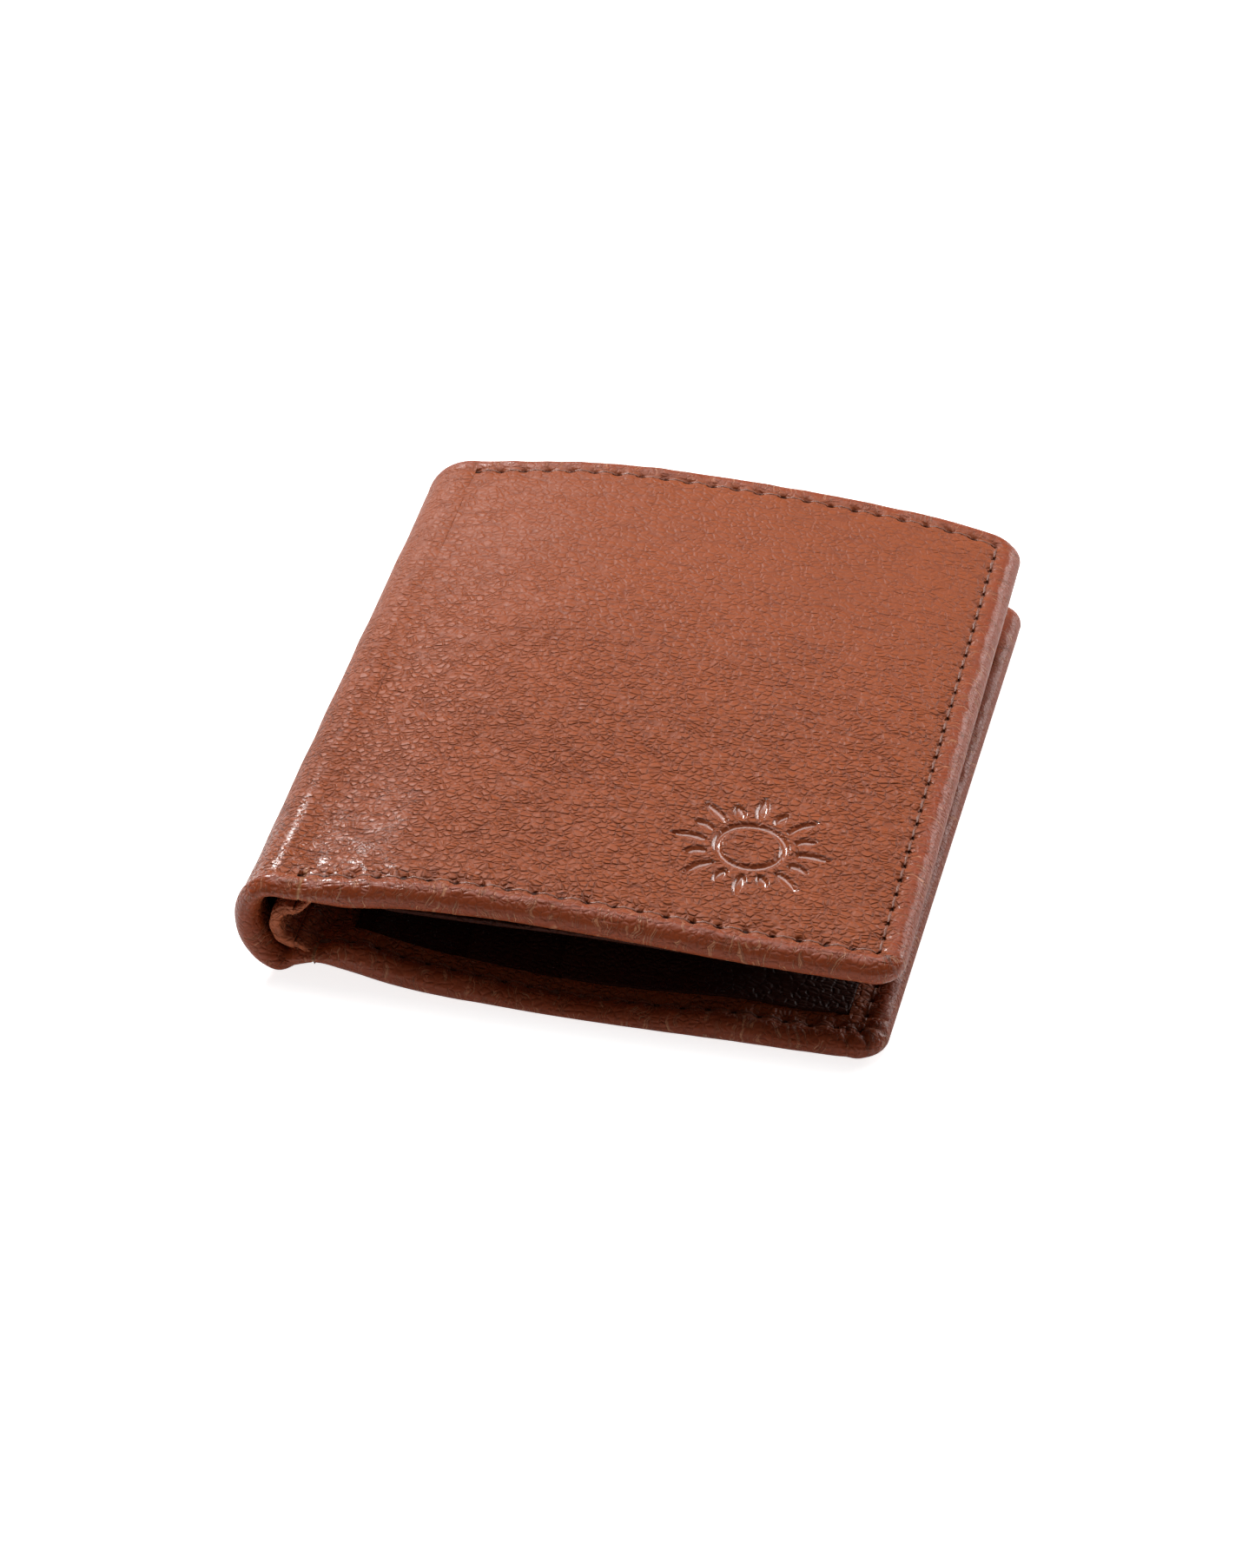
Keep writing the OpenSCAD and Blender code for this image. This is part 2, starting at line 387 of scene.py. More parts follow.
@dataclass
class NodeBench:
    """A short hand for making and joining nodes in one tree."""

    tree: bpy.types.NodeTree

    def add(self, kind: str, **settings: object) -> bpy.types.Node:
        """Add a node.

        Args:
            kind: The node's Blender type name.
            settings: Attributes to set on it.

        Returns:
            The node.
        """
        node = self.tree.nodes.new(kind)
        for key, value in settings.items():
            setattr(node, key, value)
        return node

    def join(self, source: object, target: bpy.types.NodeSocket) -> None:
        """Feed a socket from another socket, or give it a fixed value."""
        if isinstance(source, bpy.types.NodeSocket):
            self.tree.links.new(source, target)
        else:
            target.default_value = source

    def maths(self, operation: str, *sources: object, clamp: bool = False) -> bpy.types.NodeSocket:
        """Work out one sum.

        Args:
            operation: The sum, such as MULTIPLY.
            sources: Sockets or numbers.
            clamp: Keep the answer from 0 to 1.

        Returns:
            The answer's socket.
        """
        node = self.add("ShaderNodeMath", operation=operation, use_clamp=clamp)
        for source, socket in zip(sources, node.inputs):
            self.join(source, socket)
        return node.outputs[0]

    def fade(
        self, value: object, low: float, high: float, to_low: float = 0.0, to_high: float = 1.0
    ) -> bpy.types.NodeSocket:
        """Ease a value from one range to another.

        Args:
            value: The socket to ease.
            low: Its lower end.
            high: Its upper end.
            to_low: The answer at the lower end.
            to_high: The answer at the upper end.

        Returns:
            The eased value's socket.
        """
        node = self.add("ShaderNodeMapRange", interpolation_type="SMOOTHSTEP")
        for socket, source in zip(node.inputs, (value, low, high, to_low, to_high)):
            self.join(source, socket)
        return node.outputs[0]

    def mix(self, amount: object, first: object, second: object, way: str = "MIX") -> bpy.types.NodeSocket:
        """Mix two colours.

        Args:
            amount: From 0, the first, to 1, the second.
            first: A colour or socket.
            second: A colour or socket.
            way: The blend type.

        Returns:
            The colour's socket.
        """
        node = self.add("ShaderNodeMix", data_type="RGBA", blend_type=way)
        self.join(amount, node.inputs["Factor"])
        self.join(first, node.inputs[6])
        self.join(second, node.inputs[7])
        return node.outputs[2]

    def noise(
        self, place: object, scale: object, detail: float = 2.0, rough: float = 0.5
    ) -> bpy.types.NodeSocket:
        """Read soft noise.

        Args:
            place: The coordinates' socket.
            scale: Lumps per metre.
            detail: Finer layers.
            rough: Strength of the finer layers.

        Returns:
            The noise from 0 to 1.
        """
        node = self.add("ShaderNodeTexNoise")
        self.join(place, node.inputs["Vector"])
        self.join(scale, node.inputs["Scale"])
        node.inputs["Detail"].default_value = detail
        node.inputs["Roughness"].default_value = rough
        return node.outputs[0]

    def cells(self, place: object, scale: object, feature: str, random: float = 1.0) -> bpy.types.NodeSocket:
        """Read a cell pattern's distance.

        Args:
            place: The coordinates' socket.
            scale: Cells per metre.
            feature: Which distance.
            random: How irregular the cells are.

        Returns:
            The distance's socket.
        """
        node = self.add("ShaderNodeTexVoronoi", feature=feature)
        self.join(place, node.inputs["Vector"])
        self.join(scale, node.inputs["Scale"])
        node.inputs["Randomness"].default_value = random
        return node.outputs["Distance"]


def start_group(
    name: str, inputs: dict[str, float], outputs: tuple[str, ...]
) -> tuple[NodeBench, bpy.types.Node, bpy.types.Node]:
    """Start a node group with named sockets.

    Args:
        name: The group's name.
        inputs: Socket names and their usual values.
        outputs: Socket names.

    Returns:
        The bench, the group's input node and its output node.
    """
    tree = bpy.data.node_groups.new(name, "ShaderNodeTree")
    for key, value in inputs.items():
        socket = tree.interface.new_socket(key, in_out="INPUT", socket_type="NodeSocketFloat")
        socket.default_value = value
    for key in outputs:
        tree.interface.new_socket(key, in_out="OUTPUT", socket_type="NodeSocketFloat")
    bench = NodeBench(tree)
    return bench, bench.add("NodeGroupInput"), bench.add("NodeGroupOutput")


def group_once(name: str, build: Callable[[str], bpy.types.NodeTree]) -> bpy.types.NodeTree:
    """Fetch a node group, building it the first time."""
    return bpy.data.node_groups.get(name) or build(name)


GRAIN_FADES = (-0.022, 0.034)  # metres along, from the fuller near end to the flatter far end


def build_grain(name: str) -> bpy.types.NodeTree:
    """Pebbled grain: cushions between creases, in two sizes, and a fine tooth.

    Args:
        name: The group's name.

    Returns:
        The group, with outputs Height, Crease (a mask of painted shade in the grain's valleys and long
        creases), Crown and Tone.
    """
    bench, given, result = start_group(
        name,
        {"Pebbles": 1120.0, "Crease Width": 0.14, "Stretch": 0.84},
        ("Height", "Crease", "Crown", "Tone"),
    )
    place = bench.add("ShaderNodeTexCoord").outputs["Object"]
    pull = bench.add("ShaderNodeCombineXYZ")
    bench.join(given.outputs["Stretch"], pull.inputs[0])
    pull.inputs[1].default_value = 1.0
    pull.inputs[2].default_value = 1.0
    scaled = bench.add("ShaderNodeVectorMath", operation="MULTIPLY")
    bench.join(place, scaled.inputs[0])
    bench.join(pull.outputs[0], scaled.inputs[1])
    wander = bench.add("ShaderNodeTexNoise")
    bench.join(scaled.outputs[0], wander.inputs["Vector"])
    wander.inputs["Scale"].default_value = 380.0
    wander.inputs["Detail"].default_value = 1.0
    shift = bench.add("ShaderNodeVectorMath", operation="MULTIPLY_ADD")
    bench.join(wander.outputs["Color"], shift.inputs[0])
    shift.inputs[1].default_value = (0.0007, 0.0007, 0.0007)
    bench.join(scaled.outputs[0], shift.inputs[2])
    bent = shift.outputs[0]
    edge = bench.cells(bent, given.outputs["Pebbles"], "DISTANCE_TO_EDGE")
    patch = bench.noise(place, 190.0, 2.0)
    merge = bench.fade(bench.noise(place, 600.0, 2.0), 0.36, 0.60, 0.45, 1.0)
    dome = bench.maths("SUBTRACT", 1.0, bench.maths("MULTIPLY", bench.fade(edge, 0.0, 0.26, 1.0, 0.0), merge))
    valley = bench.maths("DIVIDE", edge, given.outputs["Crease Width"], clamp=True)
    valley = bench.maths("SUBTRACT", 1.0, valley, clamp=True)
    valley = bench.maths("MULTIPLY", valley, merge)
    tooth = bench.noise(place, 5200.0, 2.0, 0.6)
    lump = bench.noise(place, 700.0, 2.0, 0.5)
    drawn = bench.add("ShaderNodeVectorMath", operation="MULTIPLY")
    bench.join(bent, drawn.inputs[0])
    drawn.inputs[1].default_value = (0.36, 1.0, 1.0)
    gather = bench.cells(drawn.outputs[0], 520.0, "DISTANCE_TO_EDGE")
    bend = bench.fade(gather, 0.0, 0.085, 1.0, 0.0)
    broken = bench.fade(bench.noise(drawn.outputs[0], 700.0, 1.0, 0.4), 0.34, 0.62, 0.15, 1.0)
    bend = bench.maths("MULTIPLY", bend, broken)
    bend = bench.maths("MULTIPLY", bend, bench.fade(patch, 0.36, 0.56, 0.45, 1.0))
    parts = bench.add("ShaderNodeSeparateXYZ")
    bench.join(place, parts.inputs[0])
    full = bench.fade(parts.outputs[1], *GRAIN_FADES, 1.30, 0.46)
    dark = bench.fade(parts.outputs[1], *GRAIN_FADES, 1.00, 0.82)
    height = bench.maths("MULTIPLY", dome, 0.85)
    height = bench.maths("MULTIPLY_ADD", bend, -0.50, height)
    height = bench.maths("MULTIPLY_ADD", lump, 0.20, height)
    height = bench.maths("MULTIPLY_ADD", tooth, 0.07, height)
    # Painted shade: the crease mask darkens the colour in the grain's valleys and long creases, where shade
    # falls; it is a little weaker towards the far end.
    crease_shade = bench.maths("MULTIPLY_ADD", bend, 0.60, bench.maths("MULTIPLY", valley, 0.72), clamp=True)
    bench.join(bench.maths("MULTIPLY", height, full), result.inputs["Height"])
    bench.join(bench.maths("MULTIPLY", crease_shade, dark, clamp=True), result.inputs["Crease"])
    bench.join(bench.maths("MULTIPLY", dome, tooth), result.inputs["Crown"])
    bench.join(bench.noise(place, 70.0, 4.0, 0.6), result.inputs["Tone"])
    return bench.tree


def build_stretch_lines(name: str) -> bpy.types.NodeTree:
    """Fine lines across a rolled hem, where the leather was pulled round it.

    Args:
        name: The group's name.

    Returns:
        The group, with outputs Height and Line.
    """
    bench, given, result = start_group(name, {"Run": 0.0, "Roll": 0.0}, ("Height", "Line"))
    place = bench.add("ShaderNodeTexCoord").outputs["Object"]
    sway = bench.noise(place, 260.0, 2.0)
    along = bench.maths("MULTIPLY_ADD", sway, 0.0045, given.outputs["Run"])
    node = bench.add("ShaderNodeTexNoise", noise_dimensions="1D")
    bench.join(along, node.inputs["W"])
    node.inputs["Scale"].default_value = 900.0
    node.inputs["Detail"].default_value = 3.0
    node.inputs["Roughness"].default_value = 0.65
    ridge = bench.maths("ABSOLUTE", bench.maths("SUBTRACT", node.outputs[0], 0.5))
    line = bench.maths("SUBTRACT", 1.0, bench.fade(ridge, 0.0, 0.035))
    broken = bench.fade(bench.noise(place, 700.0, 2.0), 0.42, 0.60)
    line = bench.maths("MULTIPLY", bench.maths("MULTIPLY", line, broken), given.outputs["Roll"])
    bench.join(line, result.inputs["Line"])
    bench.join(bench.maths("MULTIPLY", line, -0.35), result.inputs["Height"])
    return bench.tree


def build_glints(name: str) -> bpy.types.NodeTree:
    """Small polished spots where pebbles were rubbed.

    Args:
        name: The group's name.

    Returns:
        The group, with the output Mask.
    """
    bench, given, result = start_group(name, {"Spots": 3000.0, "Share": 0.35}, ("Mask",))
    place = bench.add("ShaderNodeTexCoord").outputs["Object"]
    spot = bench.noise(place, given.outputs["Spots"], 2.0, 0.6)
    edge = bench.maths("SUBTRACT", 0.78, bench.maths("MULTIPLY", given.outputs["Share"], 0.5))
    bench.join(bench.fade(bench.maths("SUBTRACT", spot, edge), 0.0, 0.06), result.inputs["Mask"])
    return bench.tree


def build_weave(name: str) -> bpy.types.NodeTree:
    """Plain weave of warp and weft.

    Args:
        name: The group's name.

    Returns:
        The group, with outputs Height and Shade.
    """
    bench, given, result = start_group(name, {"Threads": 2600.0}, ("Height", "Shade"))
    place = bench.add("ShaderNodeTexCoord").outputs["Object"]
    parts = bench.add("ShaderNodeSeparateXYZ")
    bench.join(place, parts.inputs[0])
    pull = bench.maths("MULTIPLY", given.outputs["Threads"], math.pi)
    warp = bench.maths("SINE", bench.maths("MULTIPLY", parts.outputs[0], pull))
    weft = bench.maths("SINE", bench.maths("MULTIPLY", parts.outputs[1], pull))
    cross = bench.maths("MULTIPLY", warp, weft)
    slub = bench.noise(place, 800.0, 3.0)
    height = bench.maths("MULTIPLY_ADD", cross, 0.5, slub)
    bench.join(height, result.inputs["Height"])
    bench.join(bench.fade(height, -0.2, 1.2), result.inputs["Shade"])
    return bench.tree


Colour = tuple[float, float, float]
MASKS = ("roll", "run", "pressed", "rub", "hole_and_pleat_shade", "slit")


def start_material(
    name: str, colour: Colour, rough: float, bump_mm: float, strength: float = 1.0
) -> tuple[NodeBench, bpy.types.Material, bpy.types.Node, bpy.types.Node]:
    """Start a material with a Principled shader and a bump.

    Args:
        name: The material's name.
        colour: The plain colour.
        rough: The plain roughness.
        bump_mm: Height of the bump in mm.
        strength: How strongly the bump shows.

    Returns:
        The bench, the material, its Principled node and its Bump node.
    """
    material = bpy.data.materials.new(name)
    material.use_nodes = True
    material.diffuse_color = (*colour, 1.0)
    bench = NodeBench(material.node_tree)
    shader = material.node_tree.nodes["Principled BSDF"]
    shader.inputs["Base Color"].default_value = (*colour, 1.0)
    shader.inputs["Roughness"].default_value = rough
    bump = bench.add("ShaderNodeBump")
    bump.inputs["Distance"].default_value = bump_mm * MM
    bump.inputs["Strength"].default_value = strength
    bench.join(bump.outputs[0], shader.inputs["Normal"])
    return bench, material, shader, bump


@dataclass(frozen=True)
class LeatherFinish:
    """Pebbled, pigmented leather with rolled hems in painted shade (a darker copy of the tan), painted shade
    in the grain's creases and needle holes, and rubbed pebbles.
    """

    name: str
    tan: Colour = (0.264, 0.056, 0.0125)
    # Colour of the painted shade in the grain's creases.
    crease_shade: Colour = (0.085, 0.013, 0.005)
    # Painted shade: a darker, more saturated copy of the tan for the rolled hems, which face away from the
    # lamps.
    roll: Colour = (0.245, 0.043, 0.010)
    stretched: Colour = (0.48, 0.20, 0.10)
    # Colour of the painted shade in the needle holes and the corner pleats.
    needle_hole_shade: Colour = (0.018, 0.004, 0.002)
    snipped: Colour = (0.42, 0.22, 0.11)
    rough: float = 0.50
    shine: float = 0.21
    rubbed: float = 0.22
    bump_mm: float = 0.24
    rub_share: float = 0.62

    def build(self) -> bpy.types.Material:
        """Make the material.

        Returns:
            The material.
        """
        bench, material, shader, bump = start_material(self.name, self.tan, self.rough, self.bump_mm)
        grain = bench.add("ShaderNodeGroup", node_tree=group_once("Pebbled grain", build_grain))
        pull = bench.add("ShaderNodeGroup", node_tree=group_once("Stretch lines", build_stretch_lines))
        glint = bench.add("ShaderNodeGroup", node_tree=group_once("Rubbed pebbles", build_glints))
        glint.inputs["Share"].default_value = self.rub_share
        kept = {
            key: bench.add("ShaderNodeAttribute", attribute_name=key).outputs["Fac"] for key in MASKS
        }
        bench.join(kept["run"], pull.inputs["Run"])
        bench.join(kept["roll"], pull.inputs["Roll"])
        tone = bench.fade(grain.outputs["Tone"], 0.30, 0.70, 0.96, 1.04)
        light = bench.add("ShaderNodeCombineXYZ")
        for socket in light.inputs:
            bench.join(tone, socket)
        # Painted shade on the rolled hems: they take the roll colour instead of the tan.
        colour = bench.mix(kept["roll"], (*self.tan, 1.0), (*self.roll, 1.0))
        colour = bench.mix(1.0, colour, light.outputs[0], "MULTIPLY")
        plain = bench.maths("SUBTRACT", 1.0, bench.maths("MULTIPLY", kept["pressed"], 0.85))
        less = bench.maths("SUBTRACT", 1.0, bench.maths("MULTIPLY", kept["roll"], 0.62))
        plain = bench.maths("MULTIPLY", plain, less)
        # Painted shade in the grain's creases, weaker on the rolled hems and in the pressed mark.
        painted_crease_shade = bench.maths("MULTIPLY", bench.maths("MULTIPLY", grain.outputs["Crease"], plain), 0.46)
        colour = bench.mix(painted_crease_shade, colour, (*self.crease_shade, 1.0))
        lined = bench.maths("MULTIPLY", pull.outputs["Line"], 0.75)
        colour = bench.mix(lined, colour, (*self.stretched, 1.0))
        # Painted shade: near black in the needle holes and darker in the pleats of the lower leaf's corner.
        shade = bench.fade(kept["hole_and_pleat_shade"], 0.15, 0.75, 0.0, 0.92)
        colour = bench.mix(shade, colour, (*self.needle_hole_shade, 1.0))
        colour = bench.mix(bench.maths("MULTIPLY", kept["slit"], 0.8), colour, (*self.snipped, 1.0))
        bench.join(colour, shader.inputs["Base Color"])
        rub = bench.maths("MULTIPLY", glint.outputs["Mask"], kept["rub"])
        gloss = bench.maths("MAXIMUM", rub, bench.maths("MULTIPLY", kept["roll"], 0.30))
        gloss = bench.maths("MAXIMUM", gloss, kept["pressed"])
        tooth = bench.fade(grain.outputs["Crown"], 0.1, 0.8, 0.06, -0.06)
        rough = bench.maths("ADD", bench.fade(gloss, 0.0, 1.0, self.rough, self.rubbed), tooth)
        bench.join(rough, shader.inputs["Roughness"])
        height = bench.maths("MULTIPLY", grain.outputs["Height"], plain)
        bench.join(bench.maths("ADD", height, pull.outputs["Height"]), bump.inputs["Height"])
        shader.inputs["IOR"].default_value = 1.5
        shader.inputs["Specular IOR Level"].default_value = self.shine
        shader.inputs["Coat Roughness"].default_value = 0.14
        polished = bench.maths("MULTIPLY", kept["pressed"], 0.85)
        coat = bench.maths("MAXIMUM", bench.maths("MULTIPLY", rub, 0.30), polished)
        coat = bench.maths("MULTIPLY_ADD", kept["roll"], 0.06, coat, clamp=True)
        bench.join(coat, shader.inputs["Coat Weight"])
        return material


@dataclass(frozen=True)
class FleshFinish:
    """The leather's fibrous inner side, and its cut edge."""

    name: str
    fibre: Colour = (0.20, 0.075, 0.035)
    dark: Colour = (0.10, 0.030, 0.012)
    rough: float = 0.85

    def build(self) -> bpy.types.Material:
        """Make the material.

        Returns:
            The material.
        """
        bench, material, shader, bump = start_material(self.name, self.fibre, self.rough, 0.08)
        place = bench.add("ShaderNodeTexCoord").outputs["Object"]
        nap = bench.noise(place, 3200.0, 4.0, 0.7)
        patch = bench.noise(place, 300.0, 3.0)
        colour = bench.mix(bench.fade(nap, 0.35, 0.65), (*self.dark, 1.0), (*self.fibre, 1.0))
        colour = bench.mix(bench.fade(patch, 0.3, 0.7, 0.0, 0.3), colour, (*self.dark, 1.0))
        bench.join(colour, shader.inputs["Base Color"])
        bench.join(bench.fade(nap, 0.2, 0.8, 0.9, 0.7), shader.inputs["Roughness"])
        bench.join(nap, bump.inputs["Height"])
        return material


@dataclass(frozen=True)
class LiningFinish:
    """Dark woven pocket lining."""

    name: str
    light: Colour = (0.075, 0.030, 0.017)
    dark: Colour = (0.020, 0.008, 0.005)
    threads: float = 2600.0

    def build(self) -> bpy.types.Material:
        """Make the material.

        Returns:
            The material.
        """
        bench, material, shader, bump = start_material(self.name, self.light, 0.6, 0.05)
        weave = bench.add("ShaderNodeGroup", node_tree=group_once("Plain weave", build_weave))
        weave.inputs["Threads"].default_value = self.threads
        colour = bench.mix(weave.outputs["Shade"], (*self.dark, 1.0), (*self.light, 1.0))
        bench.join(colour, shader.inputs["Base Color"])
        bench.join(bench.fade(weave.outputs["Shade"], 0.0, 1.0, 0.72, 0.50), shader.inputs["Roughness"])
        bench.join(weave.outputs["Height"], bump.inputs["Height"])
        shader.inputs["Sheen Weight"].default_value = 0.2
        return material


@dataclass(frozen=True)
class ThreadFinish:
    """Bonded sewing thread with fine fibres."""

    name: str
    colour: Colour = (0.165, 0.040, 0.014)
    fibre: Colour = (0.30, 0.10, 0.045)

    def build(self) -> bpy.types.Material:
        """Make the material.

        Returns:
            The material.
        """
        bench, material, shader, bump = start_material(self.name, self.colour, 0.42, 0.04)
        place = bench.add("ShaderNodeTexCoord").outputs["Object"]
        fibre = bench.noise(place, 6500.0, 3.0, 0.7)
        colour = bench.mix(bench.fade(fibre, 0.45, 0.75), (*self.colour, 1.0), (*self.fibre, 1.0))
        bench.join(colour, shader.inputs["Base Color"])
        bench.join(bench.fade(fibre, 0.3, 0.7, 0.50, 0.34), shader.inputs["Roughness"])
        bench.join(fibre, bump.inputs["Height"])
        return material


@dataclass(frozen=True)
class StuffingFinish:
    """Foam or pressed board inside the leaves."""

    name: str
    light: Colour
    dark: Colour
    grains: float
    rough: float = 0.9

    def build(self) -> bpy.types.Material:
        """Make the material.

        Returns:
            The material.
        """
        bench, material, shader, bump = start_material(self.name, self.light, self.rough, 0.10)
        place = bench.add("ShaderNodeTexCoord").outputs["Object"]
        pore = bench.cells(place, self.grains, "F1")
        tint = bench.noise(place, 240.0, 3.0)
        colour = bench.mix(bench.fade(pore, 0.1, 0.6), (*self.dark, 1.0), (*self.light, 1.0))
        colour = bench.mix(bench.fade(tint, 0.3, 0.7, 0.0, 0.35), colour, (*self.dark, 1.0))
        bench.join(colour, shader.inputs["Base Color"])
        bench.join(bench.fade(tint, 0.3, 0.7, self.rough, self.rough - 0.15), shader.inputs["Roughness"])
        bench.join(pore, bump.inputs["Height"])
        return material


@dataclass(frozen=True)
class FilmFinish:
    """Clear vinyl of a card window, faintly scuffed."""

    name: str
    tint: Colour = (0.92, 0.94, 0.93)
    scuffed: Colour = (0.80, 0.83, 0.82)

    def build(self) -> bpy.types.Material:
        """Make the material.

        Returns:
            The material.
        """
        bench, material, shader, bump = start_material(self.name, self.tint, 0.12, 0.03)
        place = bench.add("ShaderNodeTexCoord").outputs["Object"]
        scuff = bench.noise(place, 420.0, 5.0, 0.7)
        bench.join(bench.fade(scuff, 0.35, 0.8, 0.07, 0.38), shader.inputs["Roughness"])
        colour = bench.mix(bench.fade(scuff, 0.4, 0.8), (*self.tint, 1.0), (*self.scuffed, 1.0))
        bench.join(colour, shader.inputs["Base Color"])
        bench.join(bench.noise(place, 90.0, 2.0), bump.inputs["Height"])
        shader.inputs["Transmission Weight"].default_value = 1.0
        shader.inputs["IOR"].default_value = 1.45
        return material


@dataclass
class Finishes:
    """Every finish of the wallet, made once."""

    cover: bpy.types.Material = field(default_factory=lambda: LeatherFinish("Cover leather").build())
    spine: bpy.types.Material = field(
        default_factory=lambda: LeatherFinish("Spine leather", rub_share=0.62).build()
    )
    turned: bpy.types.Material = field(
        default_factory=lambda: LeatherFinish(
            "Fold lining leather", tan=(0.36, 0.090, 0.032), rub_share=0.66
        ).build()
    )
    # Painted shade: a very dark copy of the leather for the pocket panels, card slots, window frames and
    # hinge, standing in for the shade inside the wallet.
    inside: bpy.types.Material = field(
        default_factory=lambda: LeatherFinish(
            "Inside leather in painted shade",
            tan=(0.050, 0.012, 0.006),
            crease_shade=(0.02, 0.005, 0.003),
            roll=(0.07, 0.014, 0.006),
            bump_mm=0.14,
            shine=0.12,
        ).build()
    )
    flesh: bpy.types.Material = field(default_factory=lambda: FleshFinish("Flesh side").build())
    cut: bpy.types.Material = field(
        default_factory=lambda: FleshFinish("Cut edge", fibre=(0.30, 0.13, 0.07)).build()
    )
    lining: bpy.types.Material = field(default_factory=lambda: LiningFinish("Pocket lining").build())
    thread: bpy.types.Material = field(default_factory=lambda: ThreadFinish("Needle thread").build())
    board: bpy.types.Material = field(
        default_factory=lambda: StuffingFinish(
            "Pressed board", (0.36, 0.30, 0.22), (0.22, 0.17, 0.12), 2400.0
        ).build()
    )
    foam: bpy.types.Material = field(
        default_factory=lambda: StuffingFinish(
            "Fine foam", (0.62, 0.60, 0.54), (0.42, 0.40, 0.36), 1800.0
        ).build()
    )
    film: bpy.types.Material = field(default_factory=lambda: FilmFinish("Clear vinyl").build())


# ---------------------------------------------------------------- drape of the closed wallet


def box_mm(node: str) -> tuple[Array, Array]:
    """A CAD node's lowest and highest corners in mm."""
    low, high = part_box(node)
    return np.array(low) / MM, np.array(high) / MM


